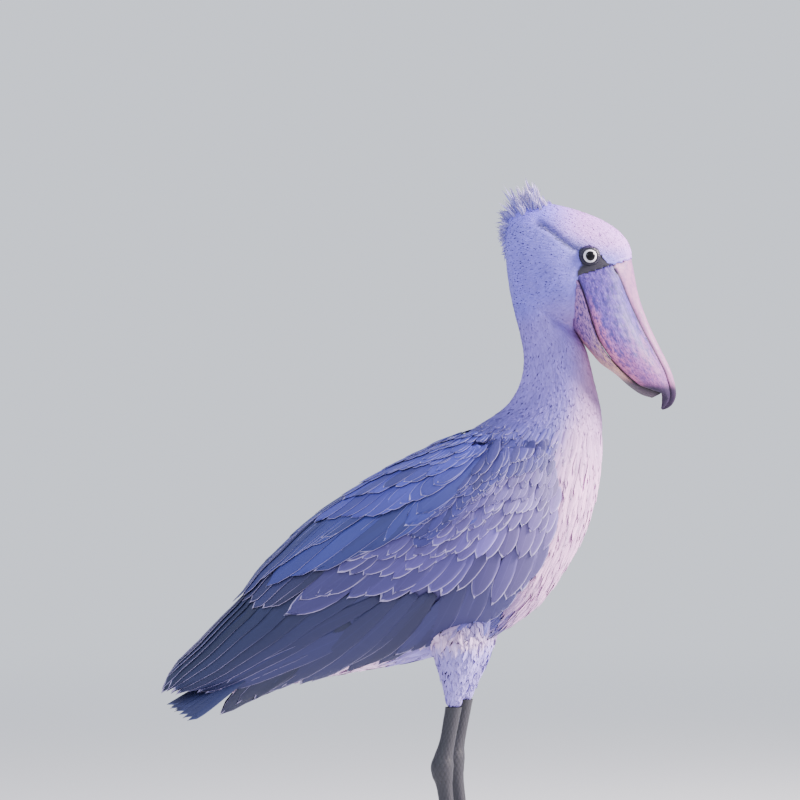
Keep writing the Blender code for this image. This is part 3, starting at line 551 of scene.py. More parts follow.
def waves(points, scale, seed):
    """Soft noise between -1 and 1: a sum of sines along random directions."""
    draw = np.random.default_rng(seed)
    total = np.zeros(points.shape[:-1])
    for _ in range(7):
        direction = unit(draw.normal(size=3)) * draw.uniform(0.6, 1.6) / scale
        total += np.sin(points @ direction * 2 * math.pi + draw.uniform(0, 6.28))
    return total / 4


# Where the pale front begins: heights, and how far forward the border runs at each
BREAST_EDGE = ([0.6, 0.68, 0.75, 0.8, 0.87, 0.92], [0.115, 0.15, 0.172, 0.184, 0.19, 0.18])


def plumage_colour(points):
    """Colour at a place: zones by height, by how far forward it is, and by side, with a band of painted
    shade above the brow line.
    """
    x, z = points[..., 0] - SHIFT, points[..., 2]
    y = np.abs(points[..., 1])
    colour = mix(MANTLE, NECK, ramp(0.745, 0.85, z + 0.1 * (x - 0.12)))
    ahead = x - np.interp(z, *BREAST_EDGE)
    colour = mix(colour, NECK_FRONT, ramp(-0.02, 0.02, ahead) * ramp(0.96, 0.9, z))
    low = ramp(0.8, 0.7, z) * ramp(-0.02, 0.03, ahead)
    colour = mix(colour, BREAST, low)
    under = ramp(0.06, -0.01, z - 0.47 + 0.3 * (x + 0.05)) * ramp(0.3, 0.1, x)
    colour = mix(colour, BELLY, under)
    colour = mix(colour, THIGH_DOWN, ramp(0.47, 0.44, z) * ramp(-0.09, -0.05, x))
    colour = mix(colour, RUMP, ramp(-0.16, -0.24, x) * ramp(0.42, 0.47, z + 0.2 * (x + 0.26)))
    head = ramp(0.925, 0.965, z + 0.35 * (0.13 - x))
    colour = mix(colour, CHEEK, head)
    crown = ramp(1.04, 1.075, z + 0.42 * (x - 0.17))
    colour = mix(colour, mix(CROWN_BACK, CROWN, ramp(0.145, 0.215, x)), crown)
    # Painted shade: a dark band just above the brow furrow, on the sides of the head
    brow, along = from_line(points, BROW_LINE)
    above = ramp(-0.004, 0.002, z - seen_at(0, np.interp(x, *BROW_SEEN))[1])
    shade = np.exp(-(brow / 0.013) ** 2) * above * ramp(0.0, 0.25, along)
    shade = shade * ramp(0.014, 0.03, y)
    colour = mix(colour, PAINTED_BROW_SHADE, 0.9 * shade)
    speckle = waves(points, 0.03, 3)
    colour = colour * (1 + 0.06 * speckle[..., None])
    return np.clip(colour, 0, 1)


BROW_SEEN = (seen_at([p[0] for p in BROW_LINE], 0)[0] - SHIFT, [p[1] for p in BROW_LINE])

# %% [markdown]
# ## Feathers as thin sheets
# A feather has a stiff middle line and two soft webs that meet at a round or pointed tip. Each
# one is a small grid: rows run from root to tip, columns from web to web. All feathers of a
# tract are worked out together, as one array of feathers by rows by columns. The middle line is
# walked along the skin in short steps, so every feather hugs the body.

# %% Feather sheets
def outline_width(share, point, shoulder):
    """Width along a feather, 0 to 1: it swells from the root, and closes at the tip as an ellipse
    raised to a power. A larger point makes a lance, 1 makes a round end."""
    swell = 0.35 + 0.65 * np.sin(np.clip(share / shoulder, 0, 1) * math.pi / 2)
    close = np.clip((share - shoulder) / (1 - shoulder), 0, 1)
    return swell * (1 - close ** 2.2) ** (0.55 * point)


def walk(root, flow, length, share):
    """Middle lines: from each root a step along the flow, settled on the skin, then the next."""
    line, normals = [root], []
    _, normal, _ = settle(root)
    normals.append(normal)
    ahead = unit(flow - normal * np.sum(flow * normal, axis=-1, keepdims=True))
    for step in np.diff(share):
        place, normal, _ = settle(line[-1] + ahead * (length * step)[:, None])
        line.append(place)
        normals.append(normal)
        ahead = unit(ahead - normal * np.sum(ahead * normal, axis=-1, keepdims=True))
    return np.stack(line, axis=1), np.stack(normals, axis=1)


def sheets(line, normal, half_width, share, columns, lift, roll, camber, point, shoulder, fray, draw):
    """Grids of feathers round their middle lines. Across is the normal turned from the line's
    direction; the webs fall away from the middle by a camber, and the rim is frayed at random."""
    count, rows = line.shape[:2]
    ahead = unit(np.gradient(line, axis=1))
    across = unit(np.cross(ahead, normal))
    cos, sin = np.cos(roll)[:, None, None], np.sin(roll)[:, None, None]
    side, over = across * cos + normal * sin, normal * cos - across * sin
    across_share = np.linspace(-1, 1, columns)
    width = half_width[:, None] * outline_width(share, point, shoulder)[None, :]
    ragged = 1 + fray * draw.uniform(-1, 1, (count, rows, columns)) * np.abs(across_share)
    reach = fray * draw.uniform(-1, 1, (count, 1, columns)) * ramp(0.55, 1.0, share)[None, :, None]
    out = width[:, :, None] * across_share * ragged
    points = line[:, :, None, :] + side[:, :, None, :] * out[..., None]
    points += normal[:, :, None, :] * lift[:, :, None, None]
    points -= over[:, :, None, :] * (camber * width[:, :, None] * across_share ** 2)[..., None]
    total = np.linalg.norm(line[:, -1] - line[:, 0], axis=-1)
    points += ahead[:, :, None, :] * (reach * total[:, None, None])[..., None]
    rim_side = width[:, :, None] * (1 - np.abs(across_share))
    rim_tip = (1 - share)[None, :, None] * total[:, None, None] + 0 * rim_side
    return points, np.minimum(rim_side, rim_tip) * 1000


def feather_piece(name, points, rim, colour, tone, bake_at, patch):
    """Joins an array of feather grids into one mesh with its colours, rims, tones and UV maps."""
    count, rows, columns = points.shape[:3]
    faces = grid_faces(rows, columns)
    faces = (faces[None, :, ::-1] + (np.arange(count) * rows * columns)[:, None, None]).reshape(-1, 4)
    item = add_mesh(name, points, faces)
    tint = np.ones((count, rows, columns, 4))
    tint[..., :3] = colour if colour.ndim == 4 else colour[:, None, None, :]
    give(item, "tint", tint, "FLOAT_COLOR")
    give(item, "rim", rim)
    give(item, "tone", np.broadcast_to(tone[:, None, None], (count, rows, columns)))
    u, v = np.meshgrid(np.linspace(0, 1, columns), np.linspace(0, 1, rows))
    web = np.broadcast_to(np.stack([u, v], axis=-1), (count, rows, columns, 2))
    give_uv(item, "web", web)
    give_uv(item, "OFBake", bake_at[:, None, None, :] + (web - 0.5) * patch)
    item.data.uv_layers["web"].active = True
    return item


# %% [markdown]
# ## Small plumage
# Roots stand in staggered rows on the outlines, as in a real bird's feather tracts, with a little
# scatter. Roots that would be buried, under a wing or inside the head, are dropped.
# Feathers are shortest and finest on the face, and grow longer down the neck to the breast.

# %% Staggered roots
def staggered(chart, first, last, spacing, scatter, draw):
    """Roots in staggered rows: rows are one spacing apart along the chart, and so are roots in a
    row. Returns their places in the chart, as row and angle."""
    fine = np.linspace(first, last, 200)
    middle = chart(fine, np.full(200, math.pi / 2))
    run = np.concatenate([[0], np.cumsum(np.linalg.norm(np.diff(middle, axis=0), axis=1))])
    gap = spacing(fine)
    steps = np.concatenate([[0], np.cumsum(np.diff(run) / (0.5 * (gap[1:] + gap[:-1])))])
    rows = np.interp(np.arange(0, steps[-1]), steps, fine)
    at, angle = [], []
    turn = np.linspace(0, 2 * math.pi, 181)
    for k, row in enumerate(rows):
        ring = chart(np.full(181, row), turn)
        around = np.concatenate([[0], np.cumsum(np.linalg.norm(np.diff(ring, axis=0), axis=1))])
        count = max(6, int(around[-1] / spacing(np.array([row]))[0]))
        even = (np.arange(count) + 0.5 * (k % 2)) / count * around[-1]
        angle.append(np.interp(even, around, turn))
        at.append(np.full(count, row))
    at, angle = np.concatenate(at), np.concatenate(angle)
    at += draw.uniform(-scatter, scatter, len(at)) * (rows[1] - rows[0] if len(rows) > 1 else 0)
    angle += draw.uniform(-scatter, scatter, len(at)) * 2 * math.pi / max(8, len(at) / len(rows))
    return at, angle


def bake_place(at, angle, rows, corner, size):
    """Place on the unwrapped outline: turns go across, rows go up, inside one box of the map."""
    turn = (np.mod(angle, 2 * math.pi)) / (2 * math.pi)
    return np.stack([corner[0] + 0.004 + turn * (size[0] - 0.008),
                     corner[1] + 0.004 + at / rows * (size[1] - 0.008)], axis=-1)


# Size of one small feather's patch on the map for baked textures
BAKE_PATCH = 0.003


def coat(name, chart, rows, at, angle, keep, flow_sign, droop, length, half_width, form, corner,
         size, seed):
    """Lays one tract of feathers. Form holds rows, columns, lift at root and tip as shares of the
    length, roll, camber, point, shoulder and fray."""
    draw = np.random.default_rng(seed)
    place, _, along = with_normal(chart, at, angle)
    root, normal, buried = settle(place)
    kept = keep(root, at, np.mod(angle, 2 * math.pi)) & (buried < form["buried"])
    at, angle, root, along = at[kept], angle[kept], root[kept], along[kept]
    count = len(root)
    flow = along * flow_sign + np.array([0, 0, -1.0]) * droop(root)[:, None]
    flow = unit(flow) + draw.normal(0, form["stray"], (count, 3))
    share = np.linspace(0, 1, form["rows"]) ** form.get("bunch", 0.85)
    size_draw = draw.uniform(0.85, 1.15, count)
    line, normals = walk(root, flow, length(root, at) * size_draw, share)
    reach = (length(root, at) * size_draw)[:, None]
    lift = reach * np.interp(share, [0, 0.15, 1], [form["root"], form["bed"], form["tip"]])
    lift = lift * draw.uniform(0.7, 1.3, count)[:, None] + form["base"]
    points, rim = sheets(line, normals, half_width(root, at) * draw.uniform(0.85, 1.15, count), share,
                         form["columns"], lift, draw.normal(0, form["roll"], count), form["camber"],
                         form["point"], form["shoulder"], form["fray"], draw)
    return feather_piece(name, points, rim, plumage_colour(root), draw.uniform(0, 1, count),
                         bake_place(at, angle, rows, corner, size), BAKE_PATCH)


# %% Bare places: bill, eye and the dark skin between them
# Outline of the bare slate skin, as pixels
BARE_PATCH = [
    (578, 252), (581, 247), (586, 244.5), (592, 244.5), (598, 248), (603, 254),
    (607, 259.5), (612, 264), (604, 267.5), (595, 270.5), (586, 274), (580, 277.5),
    (576.5, 276), (576, 271), (578, 266.5), (581, 264.5), (578.5, 259)
]


def outside_patch(points, corners):
    """Signed distance from an outline of pixels, seen from the side: negative inside it."""
    edge, _ = from_line(points, corners + corners[:1])
    cx, cz = seen_at([p[0] for p in corners], [p[1] for p in corners])
    inside = np.zeros(points.shape[:-1], bool)
    for k in range(len(corners)):
        ax, az, bx, bz = cx[k - 1], cz[k - 1], cx[k], cz[k]
        crosses = (az > points[..., 2]) != (bz > points[..., 2])
        reach = ax + (points[..., 2] - az) * (bx - ax) / np.where(bz == az, 1e-9, bz - az)
        inside ^= crosses & (points[..., 0] < reach)
    return np.where(inside, -edge, edge)


def bare_share(points):
    """1 on the bare skin round the eye and towards the bill, and 0 on the feathered parts."""
    near = ramp(0.0012, -0.0012, outside_patch(points, BARE_PATCH))
    return near * ramp(0.012, 0.022, np.abs(points[..., 1]))


def in_front_of_face(points, margin):
    """True where a place lies in the bill's room: ahead of the line from brow to gape to jaw, and
    above the bill's underside."""
    brow, gape, jaw, chin = BILL_FACE
    ahead = (beyond(points, gape, brow) < margin) & (beyond(points, jaw, gape) < margin)
    return ahead & (beyond(points, jaw, chin) > -margin)

# %% [markdown]
# The head and neck wear the shortest feathers, which give them the look of velvet. They lie back
# from the bill over the face, down the nape and down the throat.

# %% Coat of the head
def head_keep(root, at, angle):
    """Every place on the head but those in the bill's room and on the bare skin."""
    return ~in_front_of_face(root, 0.0022) & (bare_share(root) < 0.45) & (at > 0.25)


def head_length(root, at):
    """Short on the face, longer towards nape and jaw."""
    x, z = root[:, 0] - SHIFT, root[:, 2]
    face = ramp(0.045, 0.015, np.hypot(x - EYE_PLACE[0], z - EYE_PLACE[2]))
    back = ramp(0.17, 0.09, x)
    return 0.0125 - 0.0045 * face + 0.0045 * back


def head_width(root, at):
    """Half the width of a head feather, a share of its length."""
    return 0.19 * head_length(root, at) + 0.0003


def head_droop(root):
    """How much the lie turns down: little on the crown, much on cheek, nape and throat."""
    x, z = root[:, 0] - SHIFT, root[:, 2]
    return 0.25 + 0.7 * ramp(1.06, 0.98, z + 0.4 * (x - 0.15))


HEAD_FORM = dict(rows=4, columns=3, root=-0.06, bed=0.035, tip=0.055, base=0.0003, roll=0.04, camber=0.2,
                 point=1.0, shoulder=0.55, fray=0.12, stray=0.045, buried=0.006)
draw = np.random.default_rng(11)
at, angle = staggered(head_chart, 0.2, 12.0, lambda a: np.full_like(a, 0.002), 0.18, draw)
head_coat = coat("coat_head", head_chart, 12.0, at, angle, head_keep, -1, head_droop, head_length,
                 head_width, HEAD_FORM, (0.0, 0.5), (0.25, 0.5), 12)

# %% [markdown]
# On the neck the feathers are a little longer, and they part into small overlapping points.

# %% Coat of the neck
def outside_head(root, at, angle):
    """Every place on the neck that isn't in the bill's room."""
    return ~in_front_of_face(root, 0.0)


def by_row(rows, values):
    """A length or half width that changes from row to row, with straight lines between."""
    return lambda root, at: np.interp(at, rows, values)


def no_droop(root):
    """Feathers that lie along the rows, without turning down."""
    return np.zeros(len(root))


neck_length = by_row([0, 2, 5, 7.5], [0.012, 0.014, 0.019, 0.026])
neck_width = by_row([0, 2, 5, 7.5], [0.0021, 0.0023, 0.0027, 0.0036])
NECK_FORM = dict(rows=5, columns=3, root=-0.03, bed=0.04, tip=0.075, base=0.0004, roll=0.1, camber=0.3,
                 point=1.3, shoulder=0.5, fray=0.12, stray=0.06, buried=0.016)
at, angle = staggered(trunk_chart, 0.3, 7.4,
                      lambda a: np.interp(a, [0, 3, 7.4], [0.0028, 0.0031, 0.0043]), 0.2, draw)
neck_coat = coat("coat_neck", trunk_chart, 23.0, at, angle, outside_head, 1, no_droop, neck_length,
                 neck_width, NECK_FORM, (0.25, 0.0), (0.45, 1.0), 13)

# %% [markdown]
# The breast carries long pointed plumes that hang loose, the belly and flanks shorter ones, and
# the mantle small round feathers like scales. The tract stops at the folded wings, but runs on
# under their front edge, so that no bare place shows there.

# %% Coat of breast, belly and back
def from_back(angle):
    """Angle from the ridge of the back, 0 to pi, the same on both sides."""
    return np.minimum(angle, 2 * math.pi - angle)


def under_wing(at, angle, margin):
    """True where the folded wing covers the trunk by more than a margin of angle at its top."""
    row = at - WING_START
    upper = np.interp(row, WING_FLESH[:, 0], WING_FLESH[:, 1], left=9, right=9)
    lower = np.interp(row, WING_FLESH[:, 0], WING_FLESH[:, 2], left=-9, right=-9)
    away = from_back(angle)
    return (away > upper + margin) & (away < lower - 0.08)


def body_keep(root, at, angle):
    """Every place beside the wings, all of the breast, and the rows over the shoulders."""
    return ~under_wing(at, angle, 0.22) | (root[:, 0] - SHIFT > 0.117) | (at < 10.9)


def frontness(root, at):
    """1 on breast and belly and 0 on the back, by the share from back point to front point."""
    read = spline(SLIM, at)
    run = read[:, 2:4] - read[:, 0:2]
    place = np.stack([root[:, 0] - SHIFT, root[:, 2]], axis=-1) - read[:, 0:2]
    return ramp(0.25, 0.6, np.sum(place * run, axis=1) / np.sum(run * run, axis=1))


def body_length(root, at):
    """Long plumes in front, short round feathers on the mantle, by row."""
    front = frontness(root, at)
    long_ = np.interp(at, [6.5, 8.5, 11, 14, 17, 21, 23],
                      [0.034, 0.054, 0.06, 0.048, 0.038, 0.032, 0.024])
    short = np.interp(at, [6.5, 9, 14, 20, 23], [0.025, 0.026, 0.03, 0.034, 0.024])
    return short + (long_ - short) * front


def body_width(root, at):
    """Half the width: narrow in front, and wide for its length on the mantle."""
    front = frontness(root, at)
    long_ = np.interp(at, [6.5, 9, 14, 20, 23], [0.004, 0.005, 0.0058, 0.007, 0.005])
    short = np.interp(at, [6.5, 9, 14, 20, 23], [0.0044, 0.0066, 0.008, 0.011, 0.007])
    return short + (long_ - short) * front


def body_droop(root):
    """The breast plumes hang: their lie turns downwards there."""
    x, z = root[:, 0] - SHIFT, root[:, 2]
    return 0.35 * ramp(0.02, 0.16, x) * ramp(0.8, 0.7, z)


BODY_FORM = dict(rows=7, columns=5, root=-0.02, bed=0.055, tip=0.1, base=0.0005, roll=0.22, camber=0.35,
                 point=1.25, shoulder=0.5, fray=0.09, stray=0.08, buried=0.03)
at, angle = staggered(trunk_chart, 6.6, 22.8,
                      lambda a: np.interp(a, [6.6, 9, 14, 22.8], [0.0057, 0.0076, 0.0092, 0.0097]),
                      0.32, draw)
body_coat = coat("coat_body", trunk_chart, 23.0, at, angle, body_keep, 1, body_droop, body_length,
                 body_width, BODY_FORM, (0.25, 0.0), (0.45, 1.0), 14)

# %% [markdown]
# The thighs end in soft down that hides the top of the bare leg.

# %% Coat of the thighs
thigh_length = by_row([0, 3, 5.4, 6], [0.026, 0.022, 0.015, 0.011])


def thigh_width(root, at):
    """Half the width, a share of the length."""
    return 0.19 * thigh_length(root, at)


def anywhere(root, at, angle):
    """No place is left out."""
    return np.ones(len(root), bool)


THIGH_FORM = dict(rows=5, columns=3, root=-0.02, bed=0.1, tip=0.18, base=0.0003, roll=0.3, camber=0.4,
                  point=1.1, shoulder=0.5, fray=0.16, stray=0.14, buried=0.012)
thigh_coats = []
for side, word in ((-1, "right"), (1, "left")):
    chart = thigh_chart(side)
    at, angle = staggered(chart, 0.05, 5.95, lambda a: np.full_like(a, 0.0048), 0.35, draw)
    corner = (0.0 if side < 0 else 0.125, 0.0)
    piece = coat("coat_thigh_" + word, chart, 6.0, at, angle, anywhere, 1, no_droop, thigh_length,
                 thigh_width, THIGH_FORM, corner, (0.125, 0.5), 15 + side)
    thigh_coats.append(piece)

# %% [markdown]
# ## The folded wings
# In a folded wing the tiers lie like roof tiles: primaries lowest, then secondaries, greater,
# median and lesser coverts, with scapulars and tertials over their upper ends. The side tiers are
# given by pixels where feather tips were seen. Splines fill the places between, and every feather
# is draped over the wing's outline from the side.

# %% Draping from the side
def drape_trees():
    """Smooth sheets of both wings, to be hit from the side: one tree and its point normals each."""
    trees = {}
    at, angle = np.meshgrid(np.linspace(0.1, 14, 240), np.linspace(0.02, 2.7, 120), indexing="ij")
    for side in (-1, 1):
        point, normal, _ = with_normal(wing_chart(side), at, angle)
        faces = grid_faces(240, 120)
        tree = BVHTree.FromPolygons(point.reshape(-1, 3).tolist(), faces.tolist())
        trees[side] = (tree, unit(normal.reshape(-1, 3)[faces].mean(1)))
    return trees


DRAPES = drape_trees()


def drape(x, z, side):
    """Places and normals on one wing for places seen from the side. A ray comes from outside; one
    that misses takes the nearest place of the sheet, moved back to the x and z that were asked."""
    tree, normals = DRAPES[side]
    places, found = [], []
    for px, pz in zip(np.ravel(x), np.ravel(z)):
        hit = tree.ray_cast(Vector((px, side * 0.5, pz)), Vector((0, -side, 0)))
        if hit[0] is None:
            hit = tree.find_nearest(Vector((px, side * 0.02, pz)))
        places.append((px, hit[0].y, pz))
        found.append(hit[2])
    shape = np.shape(x)
    return np.array(places).reshape(shape + (3,)), normals[found].reshape(shape + (3,))


# %% [markdown]
# A feather of a side tier is described in the picture plane: where its tip is, how long and wide
# it is, and its layer. Its lie turns from nearly upright at the shoulder to nearly level on the
# back. The upper tiers wrap over the back, so they are given on the wing's own chart.

# %% Tiers of wing feathers
LIE = np.array([
    (160, 0.8, -0.58), (300, 0.78, -0.62), (340, 0.75, -0.66), (400, 0.6, -0.8),
    (450, 0.45, -0.89), (500, 0.32, -0.95), (545, 0.22, -0.97)
])
WING_TIERS = [
    # name, tips, feathers, length and half width in pixels, layer at root and tip in mm, turn
    ("secondary", [(222, 711), (240, 703), (262, 692), (290, 682), (318, 675), (346, 669), (374, 662),
                   (402, 653), (428, 644), (448, 636), (466, 629), (484, 619), (500, 605), (512, 594)], 20,
     (150, 60), (14.5, 11.0), (-2.6, 0.6), 0.0),
    ("greater", [(286, 606), (312, 594), (334, 592), (358, 593), (384, 591), (408, 589), (430, 587),
                 (452, 587), (472, 592), (488, 596), (503, 594), (518, 587), (531, 576)], 17,
     (92, 60), (13.5, 10.5), (-2.4, 1.3), 0.02),
    ("median", [(338, 569), (362, 569), (390, 567), (415, 561), (440, 555), (469, 551), (486, 549),
                (506, 551), (524, 554), (540, 549)], 16,
     (66, 46), (10.5, 8.6), (-1.6, 1.9), 0.03),
    ("lesser_b", [(345, 550), (365, 552), (395, 554), (418, 551), (440, 546), (462, 539), (482, 531),
                  (500, 525), (520, 523), (543, 527)], 25,
     (48, 34), (8.4, 6.4), (-1.0, 2.4), 0.04),
    ("lesser_a", [(430, 536), (446, 533), (462, 525), (480, 516), (498, 509), (520, 506), (548, 511)], 20,
     (36, 28), (6.8, 5.4), (-0.8, 2.8), 0.05),
    ("marginal_b", [(452, 516), (470, 508), (490, 500), (515, 494), (550, 496)], 20,
     (30, 22), (5.8, 4.6), (-0.5, 3.1), 0.06),
    ("marginal_a", [(468, 500), (486, 490), (510, 482), (548, 482)], 19,
     (26, 20), (5.0, 4.2), (-0.2, 3.3), 0.06),
    ("marginal_c", [(412, 541), (426, 532), (440, 522), (454, 508), (466, 496), (478, 484), (490, 472)], 20,
     (36, 28), (7.5, 5.0), (-0.8, 3.0), 0.05),
    ("marginal_d", [(406, 532), (420, 521), (434, 510), (448, 497), (462, 484), (474, 474), (486, 464)], 20,
     (36, 28), (7.5, 5.0), (-0.6, 3.2), 0.05),
    ("marginal_top", [(478, 486), (500, 476), (524, 468), (548, 469)], 20,
     (24, 18), (4.8, 4.0), (-0.2, 3.4), 0.06),
    ("marginal_up", [(488, 472), (506, 462), (528, 454), (548, 455)], 20,
     (24, 18), (4.8, 4.0), (-2.6, 2.2), 0.06),
]
# How much narrower the pale rim is than on the coverts
THIN_RIM = {"scapular": 2.2, "shoulder": 2.4, "tertial": 2.6, "primary": 2.6, "secondary": 2.4,
            "marginal": 4.0}
# Upper tiers by their place on the wing's chart: row and angle of the tips, from the rear forward
UPPER_TIERS = [
    # name, tips, feathers, length, half width, layer at root and tip in mm, drift of the angle
    ("primary", [(12.6, 1.95), (13.1, 1.7), (13.5, 1.4), (13.8, 1.1), (14.0, 0.78), (13.9, 0.45),
                 (13.5, 0.22), (12.8, 0.06)], 13,
     (225, 262), (16.0, 17.5), (-3.2, -0.6), 0.1),
    ("primary_cover", [(9.6, 0.95), (9.9, 0.8), (10.1, 0.62), (10.2, 0.42), (10.0, 0.22), (9.6, 0.05)], 8,
     (130, 130), (15.0, 15.0), (-1.8, 0.8), 0.06),
    ("tertial_low", [(9.2, 0.66), (8.4, 0.82), (7.6, 0.93), (6.7, 1.02), (5.8, 1.08), (4.9, 1.1),
                     (4.1, 1.1)], 8,
     (215, 130), (21.0, 18.0), (-0.5, 3.4), 0.06),
    ("tertial_high", [(9.9, 0.34), (9.3, 0.4), (8.6, 0.46), (7.9, 0.52), (7.2, 0.58), (6.4, 0.62)], 7,
     (210, 150), (20.0, 18.0), (0.0, 3.6), 0.02),
    ("tertial_ridge", [(10.4, 0.1), (9.4, 0.1), (8.1, 0.1), (7.3, 0.1), (6.5, 0.1), (5.6, 0.1)], 9,
     (190, 140), (19.0, 17.0), (0.4, 3.8), 0.0),
    ("scapular_c", [(6.4, 0.3), (5.9, 0.5), (5.4, 0.66), (4.9, 0.78), (4.3, 0.88), (3.6, 0.96),
                    (2.9, 0.98)], 12,
     (105, 74), (18.0, 15.0), (0.9, 4.6), 0.05),
    ("scapular_b", [(5.3, 0.16), (4.9, 0.32), (4.4, 0.46), (3.9, 0.58), (3.4, 0.68), (2.8, 0.78),
                    (2.1, 0.86)], 14,
     (86, 58), (15.0, 12.0), (1.4, 4.9), 0.05),
    ("scapular_a", [(4.3, 0.08), (3.9, 0.2), (3.5, 0.3), (3.0, 0.4), (2.5, 0.52), (2.0, 0.62),
                    (1.4, 0.72)], 16,
     (64, 42), (12.0, 9.5), (1.8, 5.0), 0.05),
    ("scapular_top", [(3.3, 0.04), (2.9, 0.14), (2.5, 0.24), (2.0, 0.34), (1.5, 0.46), (1.0, 0.6)], 18,
     (44, 32), (9.0, 7.0), (2.0, 4.8), 0.04),
    ("shoulder_c", [(2.6, 0.56), (2.1, 0.72), (1.7, 0.86), (1.2, 1.0)], 13,
     (36, 28), (7.5, 6.0), (1.6, 4.2), 0.04),
    ("shoulder_b", [(2.5, 0.06), (2.1, 0.2), (1.7, 0.34), (1.3, 0.5), (0.9, 0.66), (0.6, 0.84)], 20,
     (32, 25), (7.2, 5.6), (2.0, 4.8), 0.04),
    ("shoulder_a", [(1.8, 0.06), (1.4, 0.2), (1.0, 0.36), (0.6, 0.54), (0.3, 0.72)], 19,
     (28, 22), (6.4, 5.0), (2.0, 4.6), 0.04),
]


# How high a rolled feather's edge stands, in metres: wide feathers roll less, or their edges would
# come through the next tier
ROLL_REACH = 0.0011
VANE_ROWS = 13
VANE_COLUMNS = 9
# The coverts at the leading edge sink into the breast plumes, between these pixels
FRONT_SINK = 0.004
FRONT_PIXELS = (522, 556)
# Metres of a feather's length to one row of the wing's chart
ROW_LENGTH = 0.04


def along_tips(tips, count):
    """Places spread evenly over a line of tips, as pixels."""
    tips = np.array(tips, float)
    dense = spline(tips, np.linspace(0, len(tips) - 1, 400))
    run = np.concatenate([[0], np.cumsum(np.linalg.norm(np.diff(dense, axis=0), axis=1))])
    at = np.linspace(0, run[-1], count)
    return np.stack([np.interp(at, run, dense[:, 0]), np.interp(at, run, dense[:, 1])], axis=-1)


def tier_feathers(tier, side, draw):
    """Grids, rims, colours and tones of one tier on one wing. The first tip of a tier is its
    rearmost. Lines start back from the tip along the lie and bend a little downwards."""
    name, tips, count, length, half, layer, turn = tier
    tip = along_tips(tips, count) + draw.normal(0, 1.0, (count, 2)) * [1.6, 2.2]
    tip[::2, 1] += 1.6
    place = np.linspace(0, 1, count)
    reach = np.interp(place, [0, 1], length) * draw.uniform(0.86, 1.12, count)
    lie = unit(np.stack([np.interp(tip[:, 0], LIE[:, 0], LIE[:, k]) for k in (1, 2)], axis=-1))
    spin = turn + draw.normal(0, 0.05, count)
    lie = np.stack([lie[:, 0] * np.cos(spin) - lie[:, 1] * np.sin(spin),
                    lie[:, 0] * np.sin(spin) + lie[:, 1] * np.cos(spin)], axis=-1)
    share = np.linspace(0, 1, VANE_ROWS)
    back = (1 - share)[None, :, None] * reach[:, None, None]
    bend = 0.05 * (share * (1 - share))[None, :, None] * reach[:, None, None]
    pixel = tip[:, None, :] + lie[:, None, :] * back
    pixel -= np.stack([lie[:, 1], -lie[:, 0]], axis=-1)[:, None, :] * bend
    x, z = seen_at(pixel[..., 0], pixel[..., 1])
    line, normal = drape(x, z, side)
    depth = np.interp(share, [0, 1], layer)[None, :] / 1000 + draw.normal(0, 0.0002, (count, 1))
    depth -= FRONT_SINK * ramp(*FRONT_PIXELS, tip[:, 0])[:, None]
    half_width = np.interp(place, [0, 1], half) * PIXEL * draw.uniform(0.82, 1.14, count)
    roll = side * ROLL_REACH / half_width * draw.uniform(0.6, 1.4, count)
    point, shoulder = (1.0, 0.6) if name == "secondary" else (1.35, 0.48)
    return sheets(line, normal, half_width, share, VANE_COLUMNS, depth, roll, 0.08, point, shoulder,
                  0.03, draw)


def chart_feathers(tier, side, draw):
    """Grids and rims of one upper tier: lines follow the chart's rows, so that they wrap over the
    back instead of standing off from its outline."""
    tips, count, length, half, layer, drift = tier[1:]
    tip = along_tips(tips, count) + draw.normal(0, 1.0, (count, 2)) * [0.1, 0.015]
    place = np.linspace(0, 1, count)
    reach = np.interp(place, [0, 1], length) / 1000 * draw.uniform(0.92, 1.08, count)
    share = np.linspace(0, 1, VANE_ROWS)
    rows = np.minimum(tip[:, 0, None] - (1 - share) * (reach / ROW_LENGTH)[:, None], 14)
    rows = np.maximum(rows, 0.03 + 0.3 * share)
    turn = tip[:, 1, None] - (1 - share) * (drift + draw.normal(0, 0.02, (count, 1)))
    turn = np.maximum(turn, 0.01)
    line, normal, _ = with_normal(wing_chart(side), rows, turn)
    depth = np.interp(share, [0, 1], layer)[None, :] / 1000 + draw.normal(0, 0.0002, (count, 1))
    half_width = np.interp(place, [0, 1], half) / 1000 * draw.uniform(0.94, 1.06, count)
    roll = side * ROLL_REACH / half_width * draw.uniform(0.6, 1.4, count)
    return sheets(line, normal, half_width, share, VANE_COLUMNS, depth, roll, 0.06, 0.95, 0.6,
                  0.02, draw)


# %% [markdown]
# The wing is slate blue above. Its coverts are greyer violet with pale lavender rims, and the
# flight feathers grow darker towards the tail.

# %% Both wings
TERTIAL = linear(50, 58, 134)
BACK = linear(68, 70, 170)
COVERT = linear(96, 82, 158)
SHOULDER = linear(116, 100, 168)
PLUME = linear(150, 122, 184)
FLIGHT = linear(42, 45, 96)
FLIGHT_DARK = linear(22, 34, 76)


